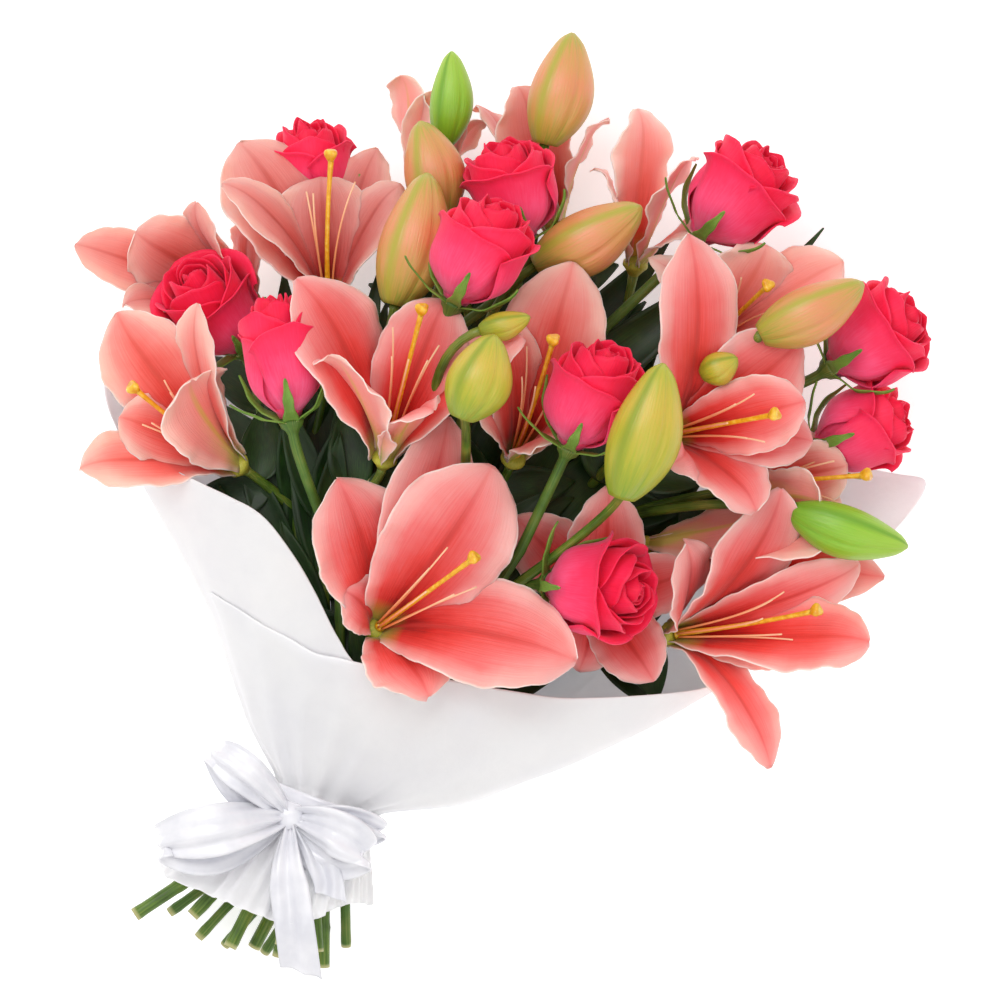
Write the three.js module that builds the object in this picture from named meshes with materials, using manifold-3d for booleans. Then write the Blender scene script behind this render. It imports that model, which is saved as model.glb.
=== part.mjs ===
// A mixed bouquet lying on its back: coral lilies, hot-pink roses and lily buds in a white
// paper wrap, tied with a white satin bow. Millimetres, +Z up. The flowers face up and the
// bouquet's axis, from the cut stems to the blooms, runs along +Y.
import * as THREE from 'three';
import { mergeVertices } from 'three/addons/utils/BufferGeometryUtils.js';
import Module from 'manifold-3d';

const wasm = await Module();
wasm.setup();

// Driving dimensions. Places in the lists below are [right, up, height] in a layout whose axis
// leans LEAN to the right; the finished group is turned back so that the axis runs along +Y.
const LEAN = THREE.MathUtils.degToRad(20);
const TIE_HEIGHT = 60;          // the tie's centre above the surface that the bouquet lies on
const REST_UP_AXIS = 215;       // from the tie to the middle of the flat on the paper's back
const GAP = 0.3;                // air between pieces that touch
const TRIM_GAP = 0.45;          // the same, where one piece is trimmed round another
const SLIVER = 0.3;             // joins and cuts leave facets thinner than this, which are closed up
const PETAL_THICKNESS = 0.9;
const ROSE_PETAL_THICKNESS = 0.8;
const SEPAL_THICKNESS = 0.8;
const PAPER_THICKNESS = 0.8;
const RIBBON_THICKNESS = 0.6;
const LILY_STEM_RADIUS = 4.2;
const PEDICEL_RADIUS = 2.6;
const ROSE_STEM_RADIUS = 3.2;
const PEDICEL_ROOT_RADIUS = 3.4;
const FACE_UP = 0.45;           // a tepal turns this share of the way to lie level at its tip
const TEPAL_ARCH = 0.16;        // how far a tepal arches out, as a share of its length
const INNER_CUP = 0.4;          // half the angle across a tepal at its base, in radians
const OUTER_CUP = 0.3;
const TIP_CURL = -0.25;         // the same at its tip, where it rolls back
const EDGE_WAVE = 1.2;
const MIDRIB_DEPTH = 1.1;
const RECEPTACLE_RADIUS = 8.4;
const RECEPTACLE_DEPTH = 7;      // below the tepals
const RECEPTACLE_HEIGHT = 3.6;   // above their roots
const STYLE_RADIUS = 1.5;
const STIGMA_RADIUS = 3.6;
const FILAMENT_RADIUS = 0.6;
const FILAMENT_SPREAD = 17;
const CALYX_NECK_RADIUS = 6.5;
const SEPAL_HALF_WIDTH = 4.5;
const STEM_BELOW_TIE = 100;      // along the axis, less each stem's own `cut`
const NECK_LENGTH = 70;         // a rose stem bends toward its head this far below it

const AXIS = new THREE.Vector3(Math.sin(LEAN), Math.cos(LEAN), 0);
const SIDE = new THREE.Vector3(Math.cos(LEAN), -Math.sin(LEAN), 0);
const UP = new THREE.Vector3(0, 0, 1);
const TIE = new THREE.Vector3(0, 0, TIE_HEIGHT);

const CORAL = 0xf28a80;
const CORAL_PALE = 0xf7b09c;
const ROSE_PINK = 0xf5213f;
const STYLE_YELLOW = 0xe3ae1e;
const BUD_PEACH = 0xe0a86c;
const LEAF_GREEN = 0x6f9a2e;
const STEM_GREEN = 0x5e8a33;
const PAPER_WHITE = 0xf4f4f7;
const SATIN_WHITE = 0xf8f8fa;

const vec = (list) => new THREE.Vector3(...list);
const mix = THREE.MathUtils.lerp;
const { sin, cos, PI, max, min, abs } = Math;

// ---------------------------------------------------------------- solids

function solidFrom(vertices, triangles) {
  const mesh = new wasm.Mesh({
    numProp: 3,
    vertProperties: new Float32Array(vertices),
    triVerts: new Uint32Array(triangles),
  });
  const solid = new wasm.Manifold(mesh);
  if (solid.volume() < 0) throw new Error('a solid is inside out');
  return solid;
}

function solidFromGeometry(geometry) {
  geometry.deleteAttribute('normal');
  geometry.deleteAttribute('uv');
  const merged = mergeVertices(geometry, 1e-3);
  return solidFrom(merged.attributes.position.array, merged.index.array);
}

// A closed blade on a grid of points. Both faces are split into triangles alike. It reaches
// `below` under the grid and `above` over it, along the grid's normals.
function blade(point, across, along, below, above, grow = 0) {
  const grid = [];
  for (let i = 0; i <= along; i += 1) {
    grid.push([]);
    for (let j = 0; j <= across; j += 1) {
      grid[i].push(point(j / across, i / along));
    }
  }
  if (grow > 0) {
    for (let i = 0; i <= along; i += 1) {
      pushOut(grid[i], grow);
    }
    for (let j = 0; j <= across; j += 1) {
      pushOutColumn(grid, j, grow);
    }
  }
  const vertices = [];
  const faceSize = (across + 1) * (along + 1);
  for (const offset of [-below - grow, above + grow]) {
    for (let i = 0; i <= along; i += 1) {
      for (let j = 0; j <= across; j += 1) {
        const place = grid[i][j].clone().addScaledVector(gridNormal(grid, i, j), offset);
        vertices.push(place.x, place.y, place.z);
      }
    }
  }
  const at = (i, j, face) => face * faceSize + i * (across + 1) + j;
  const triangles = [];
  const quad = (a, b, c, d) => triangles.push(a, b, c, a, c, d);
  for (let i = 0; i < along; i += 1) {
    for (let j = 0; j < across; j += 1) {
      triangles.push(at(i, j, 1), at(i, j + 1, 1), at(i + 1, j + 1, 1));
      triangles.push(at(i, j, 1), at(i + 1, j + 1, 1), at(i + 1, j, 1));
      triangles.push(at(i, j, 0), at(i + 1, j + 1, 0), at(i, j + 1, 0));
      triangles.push(at(i, j, 0), at(i + 1, j, 0), at(i + 1, j + 1, 0));
    }
  }
  for (let j = 0; j < across; j += 1) {
    quad(at(0, j, 0), at(0, j + 1, 0), at(0, j + 1, 1), at(0, j, 1));
    quad(at(along, j + 1, 0), at(along, j, 0), at(along, j, 1), at(along, j + 1, 1));
  }
  for (let i = 0; i < along; i += 1) {
    quad(at(i + 1, 0, 0), at(i, 0, 0), at(i, 0, 1), at(i + 1, 0, 1));
    quad(at(i, across, 0), at(i + 1, across, 0), at(i + 1, across, 1), at(i, across, 1));
  }
  return solidFrom(vertices, triangles);
}

function pushOut(row, grow) {
  const last = row.length - 1;
  const start = row[0].clone().sub(row[1]).setLength(grow);
  const end = row[last].clone().sub(row[last - 1]).setLength(grow);
  row[0].add(start);
  row[last].add(end);
}

function pushOutColumn(grid, j, grow) {
  const last = grid.length - 1;
  const start = grid[0][j].clone().sub(grid[1][j]).setLength(grow);
  const end = grid[last][j].clone().sub(grid[last - 1][j]).setLength(grow);
  grid[0][j].add(start);
  grid[last][j].add(end);
}

function gridNormal(grid, i, j) {
  const lastRow = grid.length - 1;
  const lastColumn = grid[0].length - 1;
  const alongway = grid[min(i + 1, lastRow)][j].clone().sub(grid[max(i - 1, 0)][j]);
  const sideways = grid[i][min(j + 1, lastColumn)].clone().sub(grid[i][max(j - 1, 0)]);
  return sideways.cross(alongway).normalize();
}

// A closed round body: `rings` holds { centre, normal, radius } from one end to the other.
// A `shape(angle)` factor on the radius makes ribs.
function loft(rings, sides, shape = () => 1) {
  const vertices = [];
  let reference = Math.abs(rings[0].normal.z) > 0.9 ? new THREE.Vector3(1, 0, 0) : UP.clone();
  for (const ring of rings) {
    const right = reference.clone().cross(ring.normal).normalize();
    const front = ring.normal.clone().cross(right).normalize();
    reference = front;
    for (let k = 0; k < sides; k += 1) {
      const angle = (2 * PI * k) / sides;
      const radius = ring.radius * shape(angle);
      const place = ring.centre.clone();
      place.addScaledVector(right, radius * cos(angle));
      place.addScaledVector(front, radius * sin(angle));
      vertices.push(place.x, place.y, place.z);
    }
  }
  const lastRing = rings.length - 1;
  const ends = [rings[0].centre, rings[lastRing].centre];
  for (const end of ends) {
    vertices.push(end.x, end.y, end.z);
  }
  const startCentre = rings.length * sides;
  const triangles = [];
  for (let r = 0; r < lastRing; r += 1) {
    for (let k = 0; k < sides; k += 1) {
      const next = (k + 1) % sides;
      const a = r * sides + k;
      const b = r * sides + next;
      triangles.push(a, b, b + sides, a, b + sides, a + sides);
    }
  }
  for (let k = 0; k < sides; k += 1) {
    const next = (k + 1) % sides;
    triangles.push(startCentre, next, k);
    triangles.push(startCentre + 1, lastRing * sides + k, lastRing * sides + next);
  }
  return solidFrom(vertices, triangles);
}

// A rod along a curve, `radiusAt(t)` thick.
function rod(curve, steps, sides, radiusAt, grow = 0) {
  const rings = [];
  for (let k = 0; k <= steps; k += 1) {
    const t = k / steps;
    const centre = curve.getPoint(t);
    const normal = curve.getTangent(t);
    rings.push({ centre, normal, radius: radiusAt(t) + grow });
  }
  rings[0].centre.addScaledVector(rings[0].normal, -grow);
  rings[steps].centre.addScaledVector(rings[steps].normal, grow);
  return loft(rings, sides);
}

// ---------------------------------------------------------------- lilies

// Half-width of a tepal along its length, as a share of its greatest half-width: a narrow claw,
// widest past the middle, and a blunt point.
function tepalOutline(t) {
  const swell = sin(PI * t ** 1.8) ** 0.6;
  return max(0.08, swell);
}

// The angle about a tepal's own line that would lay it level, its face or its back to the sky.
function angleToLevel(side, tangent) {
  const level = tangent.clone().cross(UP);
  const angle = Math.atan2(tangent.clone().cross(side).dot(level), side.dot(level));
  return abs(angle) > PI / 2 ? angle - Math.sign(angle) * PI : angle;
}

// One tepal from the throat to its tip. It leaves along the flower's axis, arches out, and its
// edges are cupped toward the axis at the base and roll back near the tip.
function tepal(flower, leaf, rank, across, along, grow) {
  const base = vec(flower.base);
  const axis = vec(flower.axis).normalize();
  const tip = vec(leaf.tip);
  const reach = tip.clone().sub(base);
  const length = reach.length();
  const radial = reach.clone().addScaledVector(axis, -reach.dot(axis)).normalize();
  const side = axis.clone().cross(radial).normalize();
  const arch = leaf.arch ?? TEPAL_ARCH;
  const root = 2.6 + 0.9 * rank;
  const lift = 4 - 1.6 * rank;
  const curve = new THREE.CubicBezierCurve3(
    base.clone().addScaledVector(radial, root).addScaledVector(axis, 2 - 0.5 * rank),
    base.clone().addScaledVector(radial, 2 * root).addScaledVector(axis, 0.32 * length + lift),
    base.clone().lerp(tip, 0.66).addScaledVector(axis, arch * length + lift),
    tip,
  );
  const cupBase = mix(INNER_CUP, OUTER_CUP, rank / 5);
  const cupTip = leaf.curl ?? TIP_CURL;
  const twist = leaf.twist ?? FACE_UP * angleToLevel(side, curve.getTangent(1));
  const surface = (u, t) => {
    const x = 2 * u - 1;
    const half = (leaf.width / 2) * tepalOutline(t);
    const tangent = curve.getTangent(t);
    const sideways = side.clone().applyAxisAngle(tangent, twist * t);
    const inward = tangent.clone().cross(sideways).normalize();
    const bend = mix(cupBase, cupTip, t);
    const outAcross = abs(bend) < 0.05 ? x : sin(bend * x) / bend;
    const rise = abs(bend) < 0.05 ? 0 : (1 - cos(bend * x)) / bend;
    const ruffle = EDGE_WAVE * x * x * sin(2.4 * PI * t + (x > 0 ? 1.1 : 2.9)) * t;
    const groove = -MIDRIB_DEPTH * (1 - abs(x)) ** 2 * sin(PI * t);
    return curve.getPoint(t)
      .addScaledVector(sideways, half * outAcross)
      .addScaledVector(inward, half * rise + ruffle + groove);
  };
  return blade(surface, across, along, PETAL_THICKNESS / 2, PETAL_THICKNESS / 2, grow);
}

// The green-yellow cup that the six tepals grow from.
function receptacle(flower, grow) {
  const base = vec(flower.base);
  const axis = vec(flower.axis).normalize();
  const ring = (along, radius) => ({
    centre: base.clone().addScaledVector(axis, along),
    normal: axis,
    radius: radius + grow,
  });
  const rings = [
    ring(-RECEPTACLE_DEPTH - grow, PEDICEL_RADIUS + 0.6),
    ring(-1, RECEPTACLE_RADIUS),
    ring(RECEPTACLE_HEIGHT + grow, 0.7 * RECEPTACLE_RADIUS),
  ];
  return loft(rings, 6);
}

// A tepal's place in the flower's layers, from 0 for the one nearest the axis to 5: a tepal that
// opens wider grows outside the others.
function layerRank(flower, index) {
  const axis = vec(flower.axis).normalize();
  const spread = flower.tepals.map((leaf) => vec(leaf.tip).sub(vec(flower.base)).angleTo(axis));
  return spread.filter((angle) => angle < spread[index]).length;
}

function lily(flower, grow = 0) {
  const along = flower.hero ? 4 : 3;
  const pieces = [receptacle(flower, grow)];
  flower.tepals.forEach((leaf, index) => {
    pieces.push(tepal(flower, leaf, layerRank(flower, index), 2, along, grow));
  });
  return wasm.Manifold.union(pieces);
}

// The style with its stigma, and the filaments that stand round it.
function pistil(flower, grow = 0) {
  const base = vec(flower.base);
  const axis = vec(flower.axis).normalize();
  const tip = vec(flower.stigma);
  const start = base.clone().addScaledVector(axis, RECEPTACLE_HEIGHT + 1 + GAP);
  const length = tip.distanceTo(start);
  const curve = new THREE.QuadraticBezierCurve3(
    start,
    start.clone().addScaledVector(axis, 0.45 * length),
    tip,
  );
  const end = curve.getTangent(1);
  const ring = (along, radius) => ({
    centre: tip.clone().addScaledVector(end, along),
    normal: end,
    radius: radius + grow,
  });
  const r = STIGMA_RADIUS;
  const knob = loft([ring(-r - grow, 0.5 * r), ring(-0.2 * r, r), ring(0.6 * r + grow, 0.6 * r)], 5);
  const foot = { centre: start.clone().addScaledVector(axis, 2 + grow), normal: axis, radius: 3 + grow };
  const sole = { centre: start.clone().addScaledVector(axis, -grow), normal: axis, radius: 4 + grow };
  const pieces = [rod(curve, 3, 4, () => STYLE_RADIUS, grow), knob, loft([sole, foot], 6)];
  const across = axis.clone().cross(abs(axis.z) > 0.9 ? SIDE : UP).normalize();
  const filaments = flower.hero ? 3 : 0;
  for (let k = 0; k < filaments; k += 1) {
    const out = across.clone().applyAxisAngle(axis, (2 * PI * k) / 3 + 0.5);
    const filament = new THREE.QuadraticBezierCurve3(
      start.clone().addScaledVector(out, 2.4).addScaledVector(axis, 0.8),
      start.clone().addScaledVector(axis, 0.5 * length).addScaledVector(out, 7),
      start.clone().lerp(tip, 0.72).addScaledVector(out, FILAMENT_SPREAD),
    );
    pieces.push(rod(filament, 1, 3, () => FILAMENT_RADIUS, grow));
  }
  return wasm.Manifold.union(pieces);
}

const LILIES = {
  front: {
    hero: true, base: [34, 110, 124], axis: [0.42, 0.3, 0.86], stigma: [93, 153, 192],
    tepals: [
      { tip: [12, 200, 166], width: 66 }, { tip: [104, 208, 176], width: 76 },
      { tip: [78, 238, 156], width: 54 }, { tip: [66, 72, 168], width: 58 },
      { tip: [154, 92, 178], width: 68 }, { tip: [14, 134, 158], width: 36 },
    ],
  },
  lower_right: {
    hero: true, base: [210, 106, 92], axis: [0.9, 0.1, 0.42], stigma: [298, 121, 144],
    tepals: [
      { tip: [278, 192, 138], width: 56, twist: -0.9 }, { tip: [222, 160, 150], width: 44 },
      { tip: [329, 104, 136], width: 56 }, { tip: [326, 148, 108], width: 36 },
      { tip: [274, 26, 100], width: 42 }, { tip: [290, 96, 74], width: 34 },
    ],
  },
  left: {
    base: [-50, 208, 98], axis: [-0.7, 0.45, 0.55], stigma: [-112, 255, 146],
    tepals: [
      { tip: [-124, 300, 118], width: 62 }, { tip: [-144, 208, 134], width: 48 },
      { tip: [-78, 262, 160], width: 58, twist: -1.1 }, { tip: [-76, 303, 158], width: 36 },
      { tip: [-122, 238, 116], width: 44 },
    ],
  },
  upper_left: {
    base: [5, 305, 104], axis: [-0.05, 0.85, 0.5], stigma: [7, 395, 134],
    tepals: [
      { tip: [-50, 405, 94], width: 70 }, { tip: [0, 384, 110], width: 58 },
      { tip: [34, 402, 84], width: 40 }, { tip: [48, 378, 122], width: 38 },
      { tip: [-57, 379, 140], width: 34 },
    ],
  },
  far_left: {
    base: [-40, 303, 52], axis: [-0.75, 0.4, 0.45],
    tepals: [
      { tip: [-150, 343, 70], width: 38 }, { tip: [-112, 348, 84], width: 58 },
      { tip: [-78, 364, 104], width: 36 }, { tip: [-44, 356, 84], width: 34 },
      { tip: [-118, 308, 96], width: 40 },
    ],
  },
  centre: {
    hero: true, base: [39, 212, 144], axis: [0.2, 0.78, 0.58], stigma: [62, 301, 202],
    tepals: [
      { tip: [-12, 320, 178], width: 66 }, { tip: [76, 308, 168], width: 54 },
      { tip: [120, 286, 188], width: 42 },
      { tip: [8, 276, 206], width: 62, arch: 0.1, twist: 0.7, curl: -0.4 },
      { tip: [66, 244, 210], width: 34 },
    ],
  },
  middle: {
    base: [116, 212, 106], axis: [0.25, 0.6, 0.75], stigma: [140, 283, 176],
    tepals: [
      { tip: [152, 330, 146], width: 62 }, { tip: [106, 296, 166], width: 44 },
      { tip: [148, 230, 162], width: 50, arch: 0.2 }, { tip: [170, 276, 126], width: 36 },
      { tip: [90, 252, 168], width: 28 },
    ],
  },
  right: {
    hero: true, base: [208, 226, 122], axis: [0.75, 0.15, 0.65], stigma: [272, 238, 180],
    tepals: [
      { tip: [222, 346, 168], width: 58, twist: -0.5 }, { tip: [290, 284, 122], width: 60 },
      { tip: [298, 223, 130], width: 40 }, { tip: [290, 246, 160], width: 46 },
      { tip: [262, 182, 166], width: 50 }, { tip: [211, 208, 188], width: 42, arch: 0.34 },
    ],
  },
  upper_right: {
    base: [232, 280, 78], axis: [0.6, 0.6, 0.5], stigma: [269, 316, 128],
    tepals: [
      { tip: [270, 340, 104], width: 60 }, { tip: [316, 332, 92], width: 46 },
      { tip: [200, 334, 112], width: 30 }, { tip: [296, 290, 110], width: 38 },
    ],
  },
  top: {
    base: [142, 350, 42], axis: [-0.2, 0.95, 0.25],
    tepals: [
      { tip: [122, 438, 62], width: 54, twist: 0.35 },
      { tip: [170, 422, 62], width: 52, twist: -0.3 },
      { tip: [96, 430, 42], width: 40, twist: 0.5 }, { tip: [106, 404, 76], width: 42 },
    ],
  },
  high_right: {
    base: [190, 330, 60], axis: [0.15, 0.85, 0.4],
    tepals: [
      { tip: [194, 423, 92], width: 54, twist: 0.1 },
      { tip: [222, 397, 96], width: 54, twist: -0.3 }, { tip: [223, 352, 100], width: 28 },
      { tip: [168, 390, 86], width: 48, twist: 0.3 },
    ],
  },
  high_left: {
    base: [62, 360, 34], axis: [0.05, 0.97, 0.2],
    tepals: [
      { tip: [50, 446, 50], width: 46, twist: 1 }, { tip: [96, 420, 40], width: 42, twist: -0.9 },
      { tip: [72, 438, 62], width: 40 },
    ],
  },
  far_right: {
    base: [252, 194, 92], axis: [0.95, 0.15, 0.25], stigma: [329, 202, 116],
    tepals: [
      { tip: [318, 208, 100], width: 40 }, { tip: [304, 184, 124], width: 38 },
      { tip: [316, 178, 94], width: 38 }, { tip: [306, 222, 80], width: 38 },
    ],
  },
  side_on: {
    base: [196, 158, 86], axis: [0.97, -0.1, 0.2],
    tepals: [
      { tip: [340, 141, 94], width: 46, arch: 0.05 }, { tip: [318, 168, 118], width: 38 },
      { tip: [262, 178, 122], width: 38 }, { tip: [306, 182, 76], width: 38 },
    ],
  },
  behind_rose: {
    base: [164, 128, 80], axis: [0.2, -0.1, 0.97], arrive: [0.92, -0.35, 0.1],
    tepals: [
      { tip: [174, 194, 136], width: 46 }, { tip: [226, 145, 112], width: 38 },
      { tip: [201, 78, 118], width: 42 }, { tip: [156, 84, 114], width: 38 },
      { tip: [124, 104, 116], width: 36 }, { tip: [118, 176, 118], width: 46 },
    ],
  },
};

// ---------------------------------------------------------------- roses

const ROSES = {
  top_left: { base: [-1, 356, 72], top: [-7, 409, 82], width: 44, slope: [-0.18, -0.03], cut: 14 },
  left: { base: [-50, 280, 84], top: [-76, 320, 114], width: 50, slope: [-0.46, -0.1], cut: 20 },
  left_front: { base: [-17, 236, 162], top: [-27, 301, 172], width: 43, slope: [-0.38, 0.38], cut: 26 },
  upper: { base: [123, 345, 112], top: [111, 397, 128], width: 49, slope: [-0.08, 0.11], cut: 6 },
  middle: { base: [81, 306, 168], top: [108, 358, 184], width: 52, slope: [-0.12, 0.27], cut: 12 },
  centre: { base: [150, 220, 162], top: [174, 272, 184], width: 51, slope: [0.22, 0.44], cut: 4 },
  upper_right: { base: [228, 346, 92], top: [268, 388, 104], width: 54, slope: [0.2, 0.075], cut: 10 },
  right: { base: [309, 268, 84], top: [356, 298, 98], width: 54, slope: [0.42, 0.12], cut: 0 },
  right_low: { base: [299, 220, 76], top: [350, 238, 84], width: 48, slope: [0.68, 0.1], cut: 8 },
  front: { base: [138, 136, 136], top: [190, 132, 168], width: 53, slope: [0.38, 0.32], cut: 0 },
};

// Radius of a rose head from its calyx to its mouth, as a share of its greatest radius.
function roseProfile(t) {
  return mix(0.3, 1, sin((PI / 2) * min(1, t / 0.5)) ** 0.8) * (1 - 0.25 * max(0, t - 0.55));
}

function rose(head, grow = 0) {
  const base = vec(head.base);
  const axis = vec(head.top).sub(base);
  const length = axis.length();
  axis.normalize();
  const right = axis.clone().cross(UP).normalize();
  const front = right.clone().cross(axis);
  const radius = head.width / 2;
  const place = (angle, r, along) => base.clone()
    .addScaledVector(axis, along)
    .addScaledVector(right, r * cos(angle))
    .addScaledVector(front, r * sin(angle));
  const ring = (along, r) => ({ centre: place(0, 0, along * length), normal: axis, radius: r + grow });
  const heart = [
    ring(0, 0.34 * radius), ring(0.12, 0.46 * radius), ring(0.75, 0.48 * radius),
    ring(0.98, 0.3 * radius),
  ];
  heart[0].centre.addScaledVector(axis, -grow);
  heart[3].centre.addScaledVector(axis, grow);
  const pieces = [loft(heart, 6)];
  const whorls = [
    { petals: 3, turn: 0.2, inset: 0.02, spread: 1.15, from: 0.03, height: 0.94, lip: 0.2 },
    { petals: 3, turn: 1.2, inset: 0.27, spread: 1.2, from: 0.2, height: 1.06, lip: 0.06 },
  ];
  for (const whorl of whorls) {
    for (let k = 0; k < whorl.petals; k += 1) {
      const middle = whorl.turn + (2 * PI * k) / whorl.petals;
      const petal = (u, t) => {
        const x = 2 * u - 1;
        const angle = middle + whorl.spread * x * (0.55 + 0.45 * t);
        const flare = whorl.lip * t ** 4;
        const rim = whorl.height - 0.14 * x ** 4 - 0.05 * cos(3 * x + k);
        const sunk = max(whorl.inset, 0.16 - 0.5 * t);
        const r = radius * (roseProfile(t) - sunk + flare + 0.09 * x * t);
        return place(angle, r, length * mix(whorl.from, rim, t));
      };
      const t = ROSE_PETAL_THICKNESS / 2;
      pieces.push(blade(petal, 2, 2, t, t, grow));
    }
  }
  return wasm.Manifold.union(pieces);
}

// ---------------------------------------------------------------- buds

const PEACH_BUDS = {
  high_left: { base: [72, 356, 108], tip: [60, 415, 116], width: 38 },
  left: { base: [45, 304, 144], tip: [65, 383, 146], width: 44, arrive: [0.1, 0.6, 0.8] },
  top: { base: [135, 402, 90], tip: [152, 469, 94], width: 40 },
  middle: { base: [130, 328, 118], tip: [193, 363, 132], width: 40 },
  right: { base: [264, 286, 138], tip: [326, 317, 142], width: 36, arrive: [0.1, 0.2, 0.95] },
};

const GREEN_BUDS = {
  top: { base: [75, 402, 84], tip: [79, 458, 90], width: 27 },
  centre: { base: [85, 236, 214], tip: [105, 285, 222], width: 40, arrive: [-0.1, 0.25, 0.95] },
  small: { base: [96, 288, 186], tip: [126, 296, 190], width: 18 },
  front: { base: [180, 189, 200], tip: [205, 268, 216], width: 44, arrive: [0.1, 0.3, 0.95] },
  pale: { base: [229, 262, 146], tip: [250, 272, 154], width: 21, arrive: [0, 0.1, 0.97] },
  right: { base: [284, 180, 122], tip: [353, 159, 126], width: 33 },
};

function budProfile(t) {
  return max(0.2, sin(PI * (0.1 + 0.88 * t)) ** 0.75) * (1 - 0.35 * t * t);
}

// A closed bud: six tepals folded edge to edge show as shallow ribs.
function bud(place, grow = 0) {
  const base = vec(place.base);
  const tip = vec(place.tip);
  const line = new THREE.LineCurve3(base, tip);
  const axis = tip.clone().sub(base).normalize();
  const rings = [];
  const steps = 4;
  for (let k = 0; k <= steps; k += 1) {
    const t = k / steps;
    const radius = (place.width / 2) * budProfile(t) * 1.06 + grow;
    rings.push({ centre: line.getPoint(t), normal: axis, radius });
  }
  rings[0].centre.addScaledVector(axis, -grow);
  rings[steps].centre.addScaledVector(axis, grow);
  return loft(rings, 9, (angle) => 1 + 0.035 * cos(3 * angle));
}

// ---------------------------------------------------------------- stems

// Every main stem is straight and crosses the tie in one spiral, as a hand-tied bouquet's do.
// Its slope is [sideways, up] for each step along the axis, and where it passes the tie follows
// from that slope, so that no two stems meet.
const SPIRAL_SIDE = 62;
const SPIRAL_UP = 28;
const MIDDLE_SLOPE = 0.15;

function stemLine([sideways, up]) {
  const crossing = TIE.clone()
    .addScaledVector(SIDE, SPIRAL_SIDE * (up - MIDDLE_SLOPE))
    .addScaledVector(UP, -SPIRAL_UP * sideways);
  const slope = AXIS.clone().addScaledVector(SIDE, sideways).addScaledVector(UP, up);
  return (along) => crossing.clone().addScaledVector(slope, along);
}

// A pedicel leaves the fork and comes up to its bloom along the bloom's axis.
function pedicel(from, to, axis, grow) {
  const length = from.distanceTo(to);
  const curve = new THREE.QuadraticBezierCurve3(
    from,
    to.clone().addScaledVector(axis, -0.32 * length),
    to,
  );
  return rod(curve, 2, 5, (t) => mix(PEDICEL_ROOT_RADIUS, PEDICEL_RADIUS, t), grow);
}

// A narrow lily leaf on its stem.
function stemLeaf(from, to, width, grow) {
  const middle = from.clone().lerp(to, 0.5).addScaledVector(UP, 0.12 * from.distanceTo(to));
  const curve = new THREE.QuadraticBezierCurve3(from, middle, to);
  const surface = (u, t) => {
    const x = 2 * u - 1;
    const tangent = curve.getTangent(t);
    const sideways = tangent.clone().cross(UP).normalize();
    const half = (width / 2) * max(0.12, sin(PI * t ** 0.7) ** 0.8);
    return curve.getPoint(t)
      .addScaledVector(sideways, half * x)
      .addScaledVector(UP, 0.3 * half * x * x);
  };
  return blade(surface, 2, 3, SEPAL_THICKNESS / 2, SEPAL_THICKNESS / 2, grow);
}

const LILY_STEMS = {
  left: {
    slope: [-0.42, 0.03], fork: 165, cut: 18, blooms: ['left', 'far_left', 'upper_left'],
    leaves: [{ at: 90, tip: [-62, 196, 84], width: 22 }],
  },
  centre_left: {
    slope: [-0.36, 0.17], fork: 165, cut: 10, blooms: ['centre'], peach: ['left', 'high_left'],
    leaves: [{ at: 130, tip: [36, 330, 84], width: 24 }],
  },
  top: {
    slope: [0.12, -0.042], fork: 260, cut: 2, blooms: ['top', 'high_left'], peach: ['top'],
    green: ['top'], leaves: [{ at: 170, tip: [150, 320, 74], width: 26 }],
  },
  centre: {
    slope: [0.14, 0.2], fork: 165, cut: 6, blooms: ['middle', 'behind_rose'], peach: ['middle'],
    green: ['centre', 'small'],
    leaves: [{ at: 90, tip: [70, 190, 112], width: 22 }],
  },
  right: {
    slope: [0.44, -0.06], fork: 205, cut: 12, blooms: ['right', 'upper_right', 'high_right', 'far_right'],
    peach: ['right'], green: ['pale', 'right'],
    leaves: [{ at: 96, tip: [178, 214, 62], width: 24 }, { at: 200, tip: [304, 352, 66], width: 20 }],
  },
  lower_right: {
    slope: [0.74, -0.025], fork: 160, cut: 0,
    blooms: ['lower_right', 'side_on'],
    leaves: [{ at: 80, tip: [186, 128, 38], width: 22 }],
  },
  front: { slope: [-0.1, 0.4], fork: 88, cut: 14, blooms: ['front'], green: ['front'] },
};

function lilyStem(stem, grow = 0) {
  const line = stemLine(stem.slope);
  const fork = line(stem.fork);
  const straight = new THREE.LineCurve3(line(stem.cut - STEM_BELOW_TIE), fork);
  const pieces = [rod(straight, 1, 6, () => LILY_STEM_RADIUS, grow)];
  for (const name of stem.blooms) {
    const flower = LILIES[name];
    const axis = vec(flower.axis).normalize();
    const seat = vec(flower.base).addScaledVector(axis, -RECEPTACLE_DEPTH - GAP);
    pieces.push(pedicel(fork, seat, flower.arrive ? vec(flower.arrive) : axis, grow));
  }
  for (const name of stem.peach ?? []) {
    pieces.push(budPedicel(fork, PEACH_BUDS[name], GAP, grow));
  }
  for (const name of stem.green ?? []) {
    pieces.push(budPedicel(fork, GREEN_BUDS[name], -3, grow));
    pieces.push(bud(GREEN_BUDS[name], grow));
  }
  for (const leaf of stem.leaves ?? []) {
    pieces.push(stemLeaf(line(leaf.at), vec(leaf.tip), leaf.width, grow));
  }
  return wasm.Manifold.union(pieces);
}

function budPedicel(fork, place, gap, grow) {
  const axis = vec(place.tip).sub(vec(place.base)).normalize();
  const seat = vec(place.base).addScaledVector(axis, -gap);
  const arrival = place.arrive ? vec(place.arrive).normalize() : axis;
  return pedicel(fork, seat, arrival, grow);
}

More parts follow.
